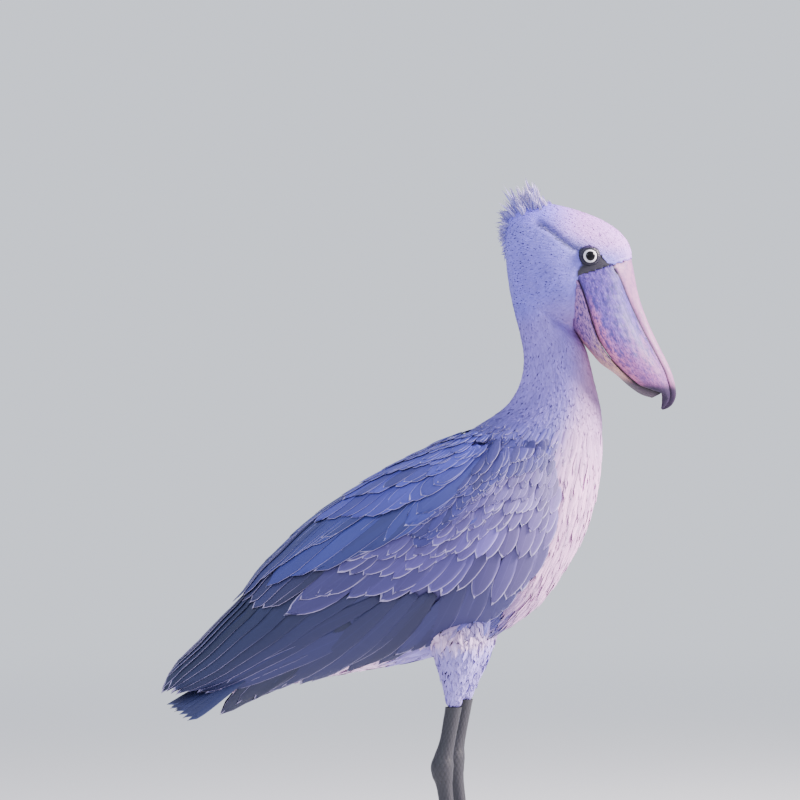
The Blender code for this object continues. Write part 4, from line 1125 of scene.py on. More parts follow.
def wing_colour(name, points, draw):
    """Colour of wing feathers by tier and place: blue slate above, violet grey on the coverts,
    and dark towards the tips."""
    x = points[..., 0] - SHIFT
    kind = name.split("_")[0]
    if kind in ("scapular", "shoulder"):
        colour = mix(BACK, MANTLE, ramp(0.02, 0.09, x))
    elif kind == "tertial":
        colour = mix(TERTIAL, BACK, 0.5 * ramp(-0.1, 0.02, x))
        colour = mix(colour, FLIGHT, ramp(-0.2, -0.32, x))
    elif kind == "primary":
        colour = mix(FLIGHT, FLIGHT_DARK, ramp(-0.25, -0.38, x))
    elif kind == "secondary":
        # Secondaries take mostly flight colour: their own dark, and partly painted shade on the front ones
        colour = mix(mix(COVERT, FLIGHT, 0.75), FLIGHT, ramp(0.04, -0.08, x))
        colour = mix(colour, FLIGHT_DARK, ramp(-0.15, -0.32, x))
    elif name in ("marginal_up", "marginal_top", "marginal_c", "marginal_d"):
        colour = mix(MANTLE, COVERT, ramp(0.06, 0.13, x) * 0.35) * 0.85
    else:
        colour = mix(SHOULDER, COVERT, ramp(0.12, 0.02, x))
        colour = mix(colour, FLIGHT, 0.5 * ramp(0.0, -0.15, x))
        if kind == "greater":
            colour = mix(colour, FLIGHT, 0.4)
    colour = mix(colour, PLUME, 0.3 * ramp(0.135, 0.165, x))
    shade = 1 + draw.normal(0, 0.14, len(points)) + 0.05 * waves(points, 0.05, 8)
    return np.clip(colour * shade[..., None], 0, 1)


# Each wing has half of its map for baked textures, with a row for each tier
BAKE_ROWS = 26
BAKE_COLUMNS = 24
FEATHER_THICKNESS = 0.0004


def thicken(item):
    """Gives sheets of feathers a thickness, half of it to each side."""
    thick = item.modifiers.new("thickness", "SOLIDIFY")
    thick.thickness = FEATHER_THICKNESS
    thick.offset = 0


makers = [(tier_feathers, tier) for tier in WING_TIERS]
makers += [(chart_feathers, tier) for tier in UPPER_TIERS]
wing_pieces = []
for side, word in ((-1, "right"), (1, "left")):
    draw = np.random.default_rng(31)
    parts = []
    for k, (maker, tier) in enumerate(makers):
        points, rim = maker(tier, side, draw)
        count = len(points)
        rim = rim * THIN_RIM.get(tier[0].split("_")[0], 1.0)
        shade = wing_colour(tier[0], points[:, 8, VANE_COLUMNS // 2], draw)
        tone = draw.uniform(0, 1, count)
        place = np.stack([(np.arange(count) + 0.5) / BAKE_COLUMNS,
                          np.full(count, (k + 0.5) / BAKE_ROWS)], axis=-1)
        bake = np.array([0.0 if side < 0 else 0.5, 0.0]) + place * [0.48, 0.98] + [0.01, 0.01]
        parts.append((points, rim, shade, tone, bake))
    joined = [np.concatenate(column) for column in zip(*parts)]
    wing = feather_piece("wing_feathers_" + word, *joined, np.array([0.016, 0.03]))
    thicken(wing)
    wing_pieces.append(wing)

# %% [markdown]
# ## Crest and tail
# The crest is a loose tuft of narrow pointed feathers at the back of the crown, parted by wind.
# The tail is short and square, its middle feather on top.

# %% Crest
# Along the back of the crown: pixel of the root, bearing in degrees, reach in pixels
CREST_LINE = np.array([
    (551, 204, 142, 7), (545, 205, 124, 13), (539, 207, 104, 26), (533, 209, 100, 31),
    (527, 211, 106, 19), (520, 213, 113, 31), (514, 218, 128, 13), (510, 225, 153, 11),
    (507, 233, 170, 7), (505, 243, 200, 5), (504, 254, 220, 4)
])
CREST_DARK = linear(138, 133, 212)
CREST_PALE = linear(208, 188, 230)


def free_normals(line, up):
    """Normals for feathers that stand free: as near as can be to a wanted direction."""
    ahead = unit(np.gradient(line, axis=1))
    return unit(up - ahead * np.sum(up * ahead, axis=-1, keepdims=True))


def free_lines(root, ahead, bend, reach, share):
    """Lines that leave the root along ahead and turn towards bend with the square of the way."""
    way = reach[:, None, None] * share[None, :, None]
    return root[:, None, :] + ahead[:, None, :] * way + bend[:, None, :] * (share ** 2)[None, :, None]


draw = np.random.default_rng(41)
plumes, tufts = 380, 26
tuft_of = draw.integers(0, tufts, plumes)
tuft_at = (np.arange(tufts) + draw.uniform(0.2, 0.8, tufts)) / tufts
tuft_read = spline(CREST_LINE, tuft_at * 10)
tuft_side = draw.permutation(np.linspace(-1, 1, tufts)) * 0.75
strand = np.clip(tuft_at[tuft_of] + draw.normal(0, 0.022, plumes), 0, 1)
read = spline(CREST_LINE, strand * 10)
aside = np.clip(tuft_side[tuft_of] + draw.normal(0, 0.16, plumes), -1, 1)
turn = np.radians(0.35 * read[:, 2] + 0.65 * tuft_read[tuft_of, 2] + draw.normal(0, 7, plumes))
reach = (read[:, 3] + 5) * PIXEL * draw.uniform(0.45, 1.05, plumes) * (1 - 0.25 * np.abs(aside))
root_x, root_z = seen_at(read[:, 0], read[:, 1])
root, _, _ = settle(np.stack([root_x, aside * 0.026, root_z - 0.004 * aside ** 2], axis=-1))
ahead = unit(np.stack([np.cos(turn), 0.38 * aside + draw.normal(0, 0.1, plumes), np.sin(turn)], axis=-1))
bend = np.stack([-np.sin(turn), draw.normal(0, 0.5, plumes), np.cos(turn)], axis=-1)
share = np.linspace(0, 1, 9)
bend = bend * draw.normal(0.002, 0.0035, plumes)[:, None]
line = free_lines(root - ahead * 0.004, ahead, bend, reach, share)
facing = np.stack([draw.normal(0, 0.5, plumes), np.where(aside < 0, -1, 1) + draw.normal(0, 0.4, plumes),
                   draw.normal(0, 0.5, plumes)], axis=-1)
points, rim = sheets(line, free_normals(line, facing[:, None, :]), draw.uniform(0.0011, 0.0024, plumes),
                     share, 5, np.zeros((plumes, 9)), np.zeros(plumes), 0.5, 1.7, 0.4, 0.16, draw)
pale = draw.uniform(0, 1, plumes) * ramp(0.8, 0.1, strand)
crest_colour = mix(CREST_DARK, CREST_PALE, pale)
crest_place = np.stack([0.01 + 0.48 * (np.arange(plumes) + 0.5) / plumes, np.full(plumes, 0.5)], axis=-1)
crest = feather_piece("crest_plumes", points, rim, crest_colour, draw.uniform(0, 1, plumes),
                      crest_place, BAKE_PATCH)

# %% Tail
TAIL_ROOT = np.array([-0.266, 0.0, 0.432])
TAIL_TIP = np.array([-0.424, 0.0, 0.349])
TAIL_VANES = 11
TAIL_HALF_WIDTH = 0.017
tail_line = TAIL_TIP - TAIL_ROOT
tail_length = np.linalg.norm(tail_line)
tail_ahead = tail_line / tail_length
tail_up = np.array([tail_ahead[2], 0.0, -tail_ahead[0]])
rank = np.arange(TAIL_VANES) - TAIL_VANES // 2.0
fan = rank * 0.044
course = unit(tail_ahead * np.cos(fan)[:, None] + np.array([0, 1.0, 0]) * np.sin(fan)[:, None]
              - tail_up * (np.abs(rank) * 0.03)[:, None])
start = (TAIL_ROOT + [SHIFT, 0, 0] + np.array([0, 1.0, 0]) * (rank * 0.0036)[:, None]
         - tail_up * (0.0035 + np.abs(rank) * 0.0016)[:, None])
share = np.linspace(0, 1, 17)
unbent = np.zeros((TAIL_VANES, 3))
line = free_lines(start, course, unbent, tail_length * (1 - 0.014 * np.abs(rank)), share)
line += tail_up * (0.003 + 0.004 * np.sin(share * math.pi))[None, :, None]
draw = np.random.default_rng(43)
points, rim = sheets(line, free_normals(line, tail_up[None, None, :]),
                     np.full(TAIL_VANES, TAIL_HALF_WIDTH), share, 11, np.zeros((TAIL_VANES, 17)),
                     np.zeros(TAIL_VANES), 0.55, 0.75, 0.7, 0.015, draw)
tail_place = np.stack([0.55 + 0.4 * (np.arange(TAIL_VANES) + 0.5) / TAIL_VANES,
                       np.full(TAIL_VANES, 0.3)], axis=-1)
tail = feather_piece("tail_vanes", points, rim, mix(FLIGHT, FLIGHT_DARK, np.full(TAIL_VANES, 0.5)),
                     draw.uniform(0, 1, TAIL_VANES), tail_place, np.array([0.03, 0.3]))
thicken(tail)

# %% [markdown]
# ## The bill
# It is a wide shoe-shaped box of horn. The upper half has a raised ridge, a groove on each side
# of it that runs to the nail, and a hook that bends down over the lower half. Its sections are
# profiles: the share of the half width at each share of the way down.

# %% Bill surfaces
BILL = np.array([
    (0.2715, 1.0185, 0.189, 0.993, 0.1845, 0.9125, 0.0525, 0.0525),
    (0.276, 0.995, 0.197, 0.974, 0.1865, 0.909, 0.0548, 0.054),
    (0.282, 0.9645, 0.2055, 0.948, 0.191, 0.903, 0.0565, 0.0548),
    (0.2925, 0.933, 0.2135, 0.9205, 0.1985, 0.892, 0.057, 0.055),
    (0.306, 0.9015, 0.225, 0.8925, 0.21, 0.878, 0.056, 0.054),
    (0.321, 0.8715, 0.2415, 0.868, 0.226, 0.86, 0.052, 0.05),
    (0.332, 0.8475, 0.2635, 0.8455, 0.247, 0.845, 0.044, 0.042),
    (0.338, 0.826, 0.284, 0.829, 0.268, 0.8265, 0.033, 0.031),
    (0.339, 0.8115, 0.303, 0.8215, 0.286, 0.814, 0.022, 0.02),
    (0.334, 0.7995, 0.3165, 0.8165, 0.303, 0.8085, 0.0125, 0.0085),
    (0.327, 0.7935, 0.318, 0.803, 0.0, 0.0, 0.007, 0.0),
    (0.319, 0.7905, 0.3165, 0.793, 0.0, 0.0, 0.0025, 0.0),
])
UPPER_PROFILE = np.array([
    (0.0, 0.0), (0.02, 0.09), (0.06, 0.155), (0.11, 0.2), (0.145, 0.225),
    (0.18, 0.3), (0.24, 0.46), (0.36, 0.66), (0.58, 0.86), (0.82, 0.975),
    (0.95, 1.0), (1.0, 0.985)
])
# At the brow the ridge is broad and low, and the section is nearly as wide as the forehead
BASE_PROFILE = np.array([
    (0.0, 0.0), (0.02, 0.17), (0.06, 0.33), (0.11, 0.5), (0.145, 0.62), (0.18, 0.67),
    (0.24, 0.72), (0.36, 0.8), (0.58, 0.9), (0.82, 0.98), (0.95, 1.0), (1.0, 0.985)
])
LOWER_PROFILE = np.array([
    (0.0, 0.985), (0.06, 0.995), (0.25, 0.97), (0.5, 0.88), (0.72, 0.7),
    (0.9, 0.42), (0.97, 0.22), (1.0, 0.0)
])
# Share of the way down at which the groove runs, for each row: the ridge is wide at the brow
GROOVE_WAY = np.array([0.345, 0.27, 0.205, 0.16, 0.132, 0.124, 0.132, 0.165, 0.23, 0.3, 0.35,
                       0.35])
GROOVE_KNOT = 0.145


def profile_point(profile, share):
    """Way and half width at a share of the profile's own length."""
    step = np.hypot(np.diff(profile[:, 0]), np.diff(profile[:, 1]))
    run = np.concatenate([[0], np.cumsum(step)]) / step.sum()
    at = np.interp(share, run, np.arange(len(profile)))
    read = spline(profile, at)
    return read[..., 0], np.clip(read[..., 1], 0, None)


def bill_half(rows, at, profile, sides):
    """Open grid round a section from the right edge over the middle to the left edge."""
    sign = np.linspace(-1, 1, sides)
    away = np.abs(sign)
    way, wide = profile_point(profile, away if profile is UPPER_PROFILE else 1 - away)
    read = spline(rows, at)[:, None, :]
    sign = np.sign(sign)
    way = np.broadcast_to(way, (len(at), sides))
    down = way
    if profile is UPPER_PROFILE:
        groove = np.interp(at, np.arange(12), GROOVE_WAY)[:, None]
        below = groove + (way - GROOVE_KNOT) / (1 - GROOVE_KNOT) * (1 - groove)
        down = np.where(way < GROOVE_KNOT, way / GROOVE_KNOT * groove, below)
        base = np.interp(way[0], BASE_PROFILE[:, 0], BASE_PROFILE[:, 1])
        wide = wide + (base - wide) * ramp(3.2, 0.0, at)[:, None]
    x = read[..., 0] + (read[..., 2] - read[..., 0]) * down + SHIFT
    z = read[..., 1] + (read[..., 3] - read[..., 1]) * down
    return np.stack([x, sign * wide * read[..., 4], z], axis=-1), way


def relief(points, at, way):
    """Growth lines across the horn and shallow dents, as a height along the normal."""
    lines = np.sin(at * 46 + 5 * waves(points, 0.02, 5)) * 0.00006
    dents = 0.00028 * waves(points, 0.016, 6) * ramp(0.1, 0.5, way)
    return lines + dents


def horn_piece(name, points, way, row, height, pit):
    """Lifts an open grid along its own outward normals by a height, and stores the horn's way down
    the side, row along the bill and the painted shade of pits and gape. Both halves meet at the gape, so no
    inside shows."""
    down = np.gradient(points, axis=0)
    round_ = np.gradient(points, axis=1)
    normal = unit(np.cross(round_, down))
    middle = points.mean(axis=1, keepdims=True)
    flip = np.sign(np.sum(normal * (points - middle), axis=-1, keepdims=True))
    normal = normal * np.where(flip == 0, 1, flip)
    shaped = points + normal * height[..., None]
    rows, columns = points.shape[:2]
    item = add_mesh(name, shaped, grid_faces(rows, columns))
    give(item, "way", way)
    give(item, "row", row)
    give(item, "pit", pit)
    across = np.broadcast_to(np.linspace(0, 1, columns), way.shape)
    give_uv(item, "horn", np.stack([across, row / row.max()], axis=-1))
    return item


UPPER_SIDES = 121
LOWER_SIDES = 81
# Each half has a root that reaches back into the head, so that no gap opens behind it
upper_at = np.concatenate([[0, 0], np.linspace(0, 9, 170)[1:], np.linspace(9, 11, 40)[1:]])
upper_points, upper_way = bill_half(BILL[:, [0, 1, 2, 3, 6]], upper_at, UPPER_PROFILE, UPPER_SIDES)
upper_points[0] = upper_points[0] * [1, 0.88, 1] + [-0.006, 0, 0.01]
upper_rows = np.broadcast_to(upper_at[:, None], upper_way.shape)
# Pits are painted shade: darker in the side grooves, in the slots at the base and along the gape edge
groove = np.exp(-((upper_way - 0.15) / 0.013) ** 4) * ramp(9.6, 7.5, upper_rows)
slot = np.exp(-((upper_rows - 0.52) / 0.22) ** 4 - ((upper_way - 0.165) / 0.014) ** 2)
gape_edge = np.exp(-((1 - upper_way) / 0.022) ** 4)
height = relief(upper_points, upper_rows, upper_way) - 0.0011 * groove - 0.0022 * slot
bill_upper = horn_piece("bill_upper_horn", upper_points, upper_way, upper_rows, height,
                        np.clip(groove + slot + gape_edge, 0, 1))

lower_at = np.concatenate([[0, 0], np.linspace(0, 9, 130)[1:], [9]])
lower_points, lower_way = bill_half(BILL[:10, [2, 3, 4, 5, 7]], lower_at, LOWER_PROFILE, LOWER_SIDES)
lower_points[0] = lower_points[0] * [1, 0.9, 1] + [-0.014, 0, 0.003]
lower_points[-1] = lower_points[-1] * [1, 0, 1] * 0.3 + lower_points[-1].mean(axis=0) * [0.7, 0, 0.7]
lower_rows = np.broadcast_to(lower_at[:, None], lower_way.shape)
height = relief(lower_points, lower_rows, 1 - lower_way) - 0.0009 * np.exp(-(lower_way / 0.05) ** 2)
# Painted shade along the lower half's gape edge, under the upper half, in a band that widens towards the
# tip
band = 0.05 + 0.3 * ramp(4.4, 7.2, lower_rows)
bill_lower = horn_piece("bill_lower_horn", lower_points, lower_way, lower_rows, height,
                        np.exp(-(lower_way / band) ** 4))

# %% [markdown]
# ## Eyes and lids
# The eye is a ball with a clear cornea. It is drawn here as rings round its axis: a black pupil,
# a silvery iris with fine rays, and a dark edge. The lids are two soft rolls of bare skin.

# %% Eyes
EYE_AXIS = np.array([0.2, 0.975, 0.06])
PUPIL = 0.007
IRIS = 0.0104
EYE_SIDES = 64
LID_RINGS = 24
LID_SIDES = 120


def eye_frame(side):
    """Centre of one eye, its axis, and two directions across it."""
    axis = unit(EYE_AXIS * [1, side, 1])
    first = unit(np.cross([0.0, 0.0, 1.0], axis))
    centre = np.array(EYE_PLACE) * [1, side, 1] + [SHIFT, 0, 0]
    return centre, axis, first, np.cross(axis, first)


def make_eye(side, word):
    """Ball whose front bulges a little as the cornea."""
    centre, axis, first, second = eye_frame(side)
    polar, turn = np.meshgrid(np.linspace(0, math.pi, EYE_SIDES),
                              turns(EYE_SIDES), indexing="ij")
    radius = EYE_RADIUS + 0.0007 * np.exp(-(polar / 0.62) ** 4)
    out = np.cos(turn)[..., None] * first + np.sin(turn)[..., None] * second
    points = centre + radius[..., None] * (np.cos(polar)[..., None] * axis + np.sin(polar)[..., None] * out)
    item = add_mesh("eye_ball_" + word, points, grid_faces(EYE_SIDES, EYE_SIDES, closed=True)[:, ::-1])
    reach = np.where(polar > math.pi / 2, EYE_RADIUS, EYE_RADIUS * np.sin(polar))
    give(item, "reach", reach * 1000)
    give(item, "turn", turn)
    return item


def make_lids(side, word):
    """Rolls of skin round the eye: their distance from the axis opens from the rim outwards, and
    their height falls from the lid's edge over a fold to the face."""
    centre, axis, first, second = eye_frame(side)
    turn = turns(LID_SIDES)[None, :]
    share = np.linspace(0, 1, LID_RINGS)[:, None]
    across = np.cos(turn)[..., None] * first + np.sin(turn)[..., None] * second
    forward = across[..., 0]
    upward = across[..., 2]
    rim = 0.01135 - 0.0011 * ramp(0.55, 1.0, upward) - 0.0006 * ramp(0.5, 1.0, -upward)
    width = 0.005 + 0.0022 * ramp(0.2, 1.0, forward) + 0.0008 * ramp(0.2, 1.0, -forward)
    reach = rim + width * share
    ball = np.sqrt(np.clip(EYE_RADIUS ** 2 - rim ** 2, 0, None)) + 0.0006
    roll = 0.0016 * np.exp(-((share - 0.12) / 0.1) ** 2) + 0.0006 * np.exp(-((share - 0.5) / 0.07) ** 2)
    brow = 0.0016 * ramp(0.2, 1.0, upward) * np.exp(-((share - 0.45) / 0.22) ** 2)
    wrinkle = 0.00022 * np.sin(turn * 31 + 4 * np.sin(turn * 3)) * np.sin(share * math.pi)
    height = ball + roll + brow + wrinkle - 0.0064 * share ** 1.5
    points = centre + across * reach[..., None] + axis * height[..., None]
    inner = centre + across[0][None] * (rim - 0.0012)[..., None] + axis * (ball - 0.0024)[..., None]
    points = np.concatenate([inner, points])
    return add_mesh("lids_" + word, points, grid_faces(LID_RINGS + 1, LID_SIDES, closed=True))


# %% Both eyes
eyes = [make_eye(-1, "right"), make_eye(1, "left")]
lids = [make_lids(-1, "right"), make_lids(1, "left")]

# %% [markdown]
# ## Legs and feet
# The bare leg is covered with small net-like scales, with larger plates down the front of the
# toes. These are raised in the surface itself. The joint above the long tarsus bulges.

# %% Legs
LEG = np.array([
    (0.005, 0.3497, 0.0125, 0.0115),
    (0.0015, 0.33, 0.0115, 0.0105),
    (-0.004, 0.3, 0.0112, 0.0102),
    (-0.0095, 0.278, 0.0135, 0.0125),
    (-0.012, 0.262, 0.0165, 0.015),
    (-0.0115, 0.246, 0.015, 0.013),
    (-0.008, 0.225, 0.0112, 0.0095),
    (0.0, 0.16, 0.01, 0.0085),
    (0.006, 0.09, 0.0102, 0.0088),
    (0.0095, 0.052, 0.012, 0.0115),
    (0.0115, 0.032, 0.0155, 0.0165),
    (0.0125, 0.016, 0.017, 0.019),
    (0.013, 0.005, 0.016, 0.018),
    (0.013, 0.0, 0.013, 0.015),
])
TOES = [("middle", 2.0, 0.0, 0.162, 0.0095), ("hind", 186.0, 0.0, 0.078, 0.0088),
        ("inner", -22.0, -0.01, 0.122, 0.0086), ("outer", 34.0, 0.01, 0.132, 0.0086)]
UPWARD = np.array([0, 0, 1.0])
CLAW_LENGTH = 0.023
CLAW_BEND = 1.35
CLAW_RADIUS = 0.0052
LEG_RINGS = 420
LEG_SIDES = 72
TOE_RINGS = 150
TOE_SIDES = 40
CLAW_RINGS = 28
CLAW_SIDES = 24


def cobbles(u, v):
    """Height of a net of scales, 0 in the joints and 1 on the scales: two offset waves whose
    product makes lozenges."""
    first = np.abs(np.sin(math.pi * (u + v / 2)))
    second = np.abs(np.sin(math.pi * (u - v / 2)))
    return np.clip(np.minimum(first, second) * 2.2, 0, 1)


def make_leg(side, forward, word):
    """Shank and tarsus in one: rings down the leg, with scales that wrap round it."""
    at = np.concatenate([[0.0], np.linspace(0.001, 12.99, LEG_RINGS)])
    turn = turns(LEG_SIDES)
    read = spline(LEG, at)
    down = (LEG[0, 1] - read[:, 1])[:, None]
    scale = cobbles(turn[None, :] / (2 * math.pi) * 14, down / 0.0062)
    swell = 0.00055 * scale * ramp(0.004, 0.02, down)
    x = read[:, 0:1] + forward + SHIFT + (read[:, 2:3] + swell) * np.cos(turn)
    y = side * LEG_HALF_SPREAD + (read[:, 3:4] + swell) * np.sin(turn)
    points = np.stack([x, y, np.broadcast_to(read[:, 1:2], x.shape)], axis=-1)
    item = add_mesh("leg_" + word, points, grid_faces(len(at), LEG_SIDES, closed=True)[:, ::-1])
    give(item, "raised", scale)
    return item


def toe_frame(bearing, aside, side, forward):
    """Where a toe starts, under the tarsus, and the directions along it and across it."""
    angle = math.radians(bearing)
    ahead = np.array((math.cos(angle), side * math.sin(angle), 0.0))
    across = np.array((-ahead[1], ahead[0], 0.0))
    start = np.array((LEG[-1][0] + forward + SHIFT, side * (LEG_HALF_SPREAD + aside), 0.0))
    return start, ahead, across


def make_toe(toe, side, forward):
    """A padded toe with a flat sole; plates lie across its top and pads swell between joints."""
    bearing, aside, length, radius = toe[1:]
    start, ahead, across = toe_frame(bearing, aside, side, forward)
    share = np.linspace(0, 1, TOE_RINGS)[:, None]
    turn = turns(TOE_SIDES)[None, :]
    pads = 1.0 + 0.07 * np.cos(share * math.pi * 6)
    size = radius * (1.0 - 0.36 * share) * pads * np.where(share > 0.97, 0.93, 1)
    top = ramp(0.05, 0.7, np.sin(turn))
    plates = np.clip(np.abs(np.sin(math.pi * share * length / 0.0058)) * 2.4, 0, 1)
    net = cobbles(turn / (2 * math.pi) * 12, share * length / 0.0048)
    raised = net + (plates - net) * top
    size = size + 0.0005 * raised
    rise = radius * (1.0 - 0.36 * share) * pads * 0.8
    up = np.maximum(0.0, rise + size * 0.95 * np.sin(turn))
    points = (start + ahead * (0.01 + share * (length - 0.01))[..., None]
              + across * (size * np.cos(turn))[..., None] + UPWARD * up[..., None])
    return points, raised


def toe_faces(rings, sides):
    """Faces of one tube for each toe, numbered one toe after the other."""
    faces = grid_faces(rings, sides, closed=True)
    return np.concatenate([faces + k * rings * sides for k in range(len(TOES))])


def make_foot(side, forward, word):
    """All toes of one foot as one mesh."""
    made = [make_toe(toe, side, forward) for toe in TOES]
    item = add_mesh("toes_" + word, np.stack([toe[0] for toe in made]), toe_faces(TOE_RINGS, TOE_SIDES))
    give(item, "raised", np.stack([toe[1] for toe in made]))
    return item


def make_claws(side, forward, word):
    """Curved claws: rings shrink along an arc that bends to the ground."""
    every = []
    for _, bearing, aside, length, radius in TOES:
        start, ahead, across = toe_frame(bearing, aside, side, forward)
        t = np.linspace(0, 1, CLAW_RINGS)[:, None]
        turn = turns(CLAW_SIDES)[None, :]
        rise = radius * 0.62
        size = CLAW_RADIUS * (1 - t) ** 0.75 + 0.0004
        arc = np.sin(t * CLAW_BEND)[..., None] / math.sin(CLAW_BEND)
        middle = start + ahead * (length - 0.002) + ahead * (CLAW_LENGTH + 0.002) * arc
        height = rise + 0.0012 * np.sin(t * math.pi) - (rise - 0.0014) * t ** 2.0
        up = np.maximum(0.0004, height + size * 0.95 * np.sin(turn))
        every.append(middle + across * (size * 0.72 * np.cos(turn))[..., None] + UPWARD * up[..., None])
    return add_mesh("claws_" + word, np.stack(every), toe_faces(CLAW_RINGS, CLAW_SIDES))


legs, feet, claws = [], [], []
for side, forward, word in ((-1, 0.0, "right"), (1, FAR_FOOT_FORWARD, "left")):
    legs.append(make_leg(side, forward, word))
    feet.append(make_foot(side, forward, word))
    claws.append(make_claws(side, forward, word))

# %% [markdown]
# ## Materials
# Every feather reads its own numbers: the colour of its place, the distance to its rim and its
# tone. The rim gives a pale edge, and fine slanting barbs run out from the middle line. A pattern
# that several materials share is a node group, built once and placed with each one's own values.

# %% Node helpers
def paint(red, green, blue):
    """A screen colour as a tuple, the form that sockets take."""
    return tuple(linear(red, green, blue))


def new_material(name, roughness):
    """An empty material with one Principled shader, and its tree."""
    made = bpy.data.materials.new(name)
    made.use_nodes = True
    shader = made.node_tree.nodes["Principled BSDF"]
    shader.inputs["Roughness"].default_value = roughness
    return made, made.node_tree, shader


def feed(tree, target, value):
    """Sets a socket to a number or a colour, or links it to the socket that gives its value."""
    if isinstance(value, (int, float)):
        target.default_value = value
    elif isinstance(value, tuple):
        target.default_value = value + (1.0,)
    else:
        tree.links.new(value, target)


def node(tree, kind, given=None, **settings):
    """One node with its settings, and with what is given to its sockets by name or number."""
    made = tree.nodes.new(kind)
    for key, value in settings.items():
        setattr(made, key, value)
    for key, value in (given or {}).items():
        feed(tree, made.inputs[key], value)
    return made


def attribute(tree, name):
    """The number that each vertex carries under a name."""
    return node(tree, "ShaderNodeAttribute", attribute_name=name).outputs["Fac"]


def math_node(tree, operation, first, second=0.0):
    """A sum, product or the like of two sockets or numbers."""
    return node(tree, "ShaderNodeMath", {0: first, 1: second}, operation=operation).outputs[0]


def times(tree, first, second):
    """The product of two sockets or numbers."""
    return math_node(tree, "MULTIPLY", first, second)


def ranged(tree, value, low, high, out_low=0.0, out_high=1.0):
    """Smoothly maps a range of numbers onto another one."""
    given = {"Value": value, "From Min": low, "From Max": high, "To Min": out_low, "To Max": out_high}
    return node(tree, "ShaderNodeMapRange", given, interpolation_type="SMOOTHSTEP").outputs["Result"]


def mixed(tree, share, first, second, blend="MIX"):
    """Mixes two colours; each may be a socket or a tuple."""
    made = node(tree, "ShaderNodeMix", {"Factor": share}, data_type="RGBA", blend_type=blend)
    for key, value in (("A", first), ("B", second)):
        feed(tree, [s for s in made.inputs if s.name == key and s.type == "RGBA"][0], value)
    return [s for s in made.outputs if s.type == "RGBA"][0]


def noise(tree, vector, scale, detail, roughness=0.5):
    """Cloudy numbers around one half, at places given by a vector."""
    given = {"Vector": vector, "Scale": scale, "Detail": detail, "Roughness": roughness}
    return node(tree, "ShaderNodeTexNoise", given).outputs["Fac"]


def bumped(tree, shader, height, strength, distance):
    """Turns the shader's normal as if the surface were raised by a height."""
    given = {"Height": height, "Strength": strength, "Distance": distance}
    feed(tree, shader.inputs["Normal"], node(tree, "ShaderNodeBump", given).outputs["Normal"])


def new_group(name, inputs, results):
    """An empty node group: its tree, its inputs and its outputs. Sockets whose names end in colour
    hold colours, the others numbers."""
    tree = bpy.data.node_groups.new(name, "ShaderNodeTree")
    for keys, way in ((inputs, "INPUT"), (results, "OUTPUT")):
        for key in keys:
            kind = "NodeSocketColor" if key.endswith("colour") else "NodeSocketFloat"
            tree.interface.new_socket(name=key, in_out=way, socket_type=kind)
    return tree, node(tree, "NodeGroupInput").outputs, node(tree, "NodeGroupOutput").inputs


def placed(tree, group, **values):
    """Places a group with a material's own values, and returns what it puts out."""
    return node(tree, "ShaderNodeGroup", values, node_tree=group).outputs


# %% Feather materials
BARBS = 46.0
BARB_SLANT = 26.0
FEATHER_VALUES = ("rim_width", "rim_colour", "rim_share", "barb_share", "shaft_share", "contrast",
                  "root_shade_share", "centre_share")
# Darker and lighter tones of a feather: the darker one also gives the painted shade at the root
DARK_TONE_AND_ROOT_SHADE = (0.62, 0.6, 0.66)
WORN_LIGHT = (1.25, 1.24, 1.2)


def feather_group():
    """Tint times tone, with painted shade towards the root, where each feather lies under the ones
    before it, darker in the middle, with barbs as fine slanting lines, a lighter shaft, and a pale rim
    that fades in towards the tip."""
    tree, given, result = new_group("feather_pattern", FEATHER_VALUES, ("colour", "barb"))
    tint = node(tree, "ShaderNodeAttribute", attribute_name="tint").outputs["Color"]
    rim, tone = attribute(tree, "rim"), attribute(tree, "tone")
    web = node(tree, "ShaderNodeUVMap", uv_map="web").outputs["UV"]
    split = node(tree, "ShaderNodeSeparateXYZ", {0: web})
    across, along = split.outputs["X"], split.outputs["Y"]
    from_shaft = math_node(tree, "ABSOLUTE", math_node(tree, "SUBTRACT", across, 0.5))
    slant = math_node(tree, "SUBTRACT", times(tree, along, BARBS),
                      times(tree, from_shaft, BARB_SLANT))
    barb = math_node(tree, "SINE", times(tree, slant, 6.283))
    dark = mixed(tree, 1.0, tint, DARK_TONE_AND_ROOT_SHADE, "MULTIPLY")
    light = mixed(tree, 1.0, tint, WORN_LIGHT, "MULTIPLY")
    contrast = given["contrast"]
    toned = ranged(tree, tone, 0.0, 1.0, math_node(tree, "SUBTRACT", 0.5, contrast),
                   math_node(tree, "ADD", 0.5, contrast))
    colour = mixed(tree, toned, dark, light)
    # Painted shade: darker towards the root, which lies under the feathers before it
    colour = mixed(tree, ranged(tree, along, 0.0, 0.75, given["root_shade_share"], 0.0), colour, dark)
    colour = mixed(tree, ranged(tree, rim, 1.0, 6.0, 0.0, given["centre_share"]), colour, dark)
    colour = mixed(tree, ranged(tree, barb, -1.0, 1.0, 0.0, given["barb_share"]), colour, dark)
    shaft = ranged(tree, from_shaft, 0.012, 0.035, given["shaft_share"], 0.0)
    colour = mixed(tree, shaft, colour, light)
    width = given["rim_width"]
    edge = ranged(tree, rim, times(tree, width, 0.35), width, given["rim_share"], 0.0)
    fade = ranged(tree, along, 0.35, 0.8)
    colour = mixed(tree, times(tree, edge, fade), colour, given["rim_colour"])
    feed(tree, result["colour"], colour)
    feed(tree, result["barb"], barb)
    return tree


FEATHER_PATTERN = feather_group()


def feather_material(name, *values):
    """One kind of plumage: the feather pattern with its own values, in the order above."""
    made, tree, shader = new_material(name, 0.62)
    pattern = placed(tree, FEATHER_PATTERN, **dict(zip(FEATHER_VALUES, values)))
    feed(tree, shader.inputs["Base Color"], pattern["colour"])
    bumped(tree, shader, pattern["barb"], 0.25, 0.0004)
    return made


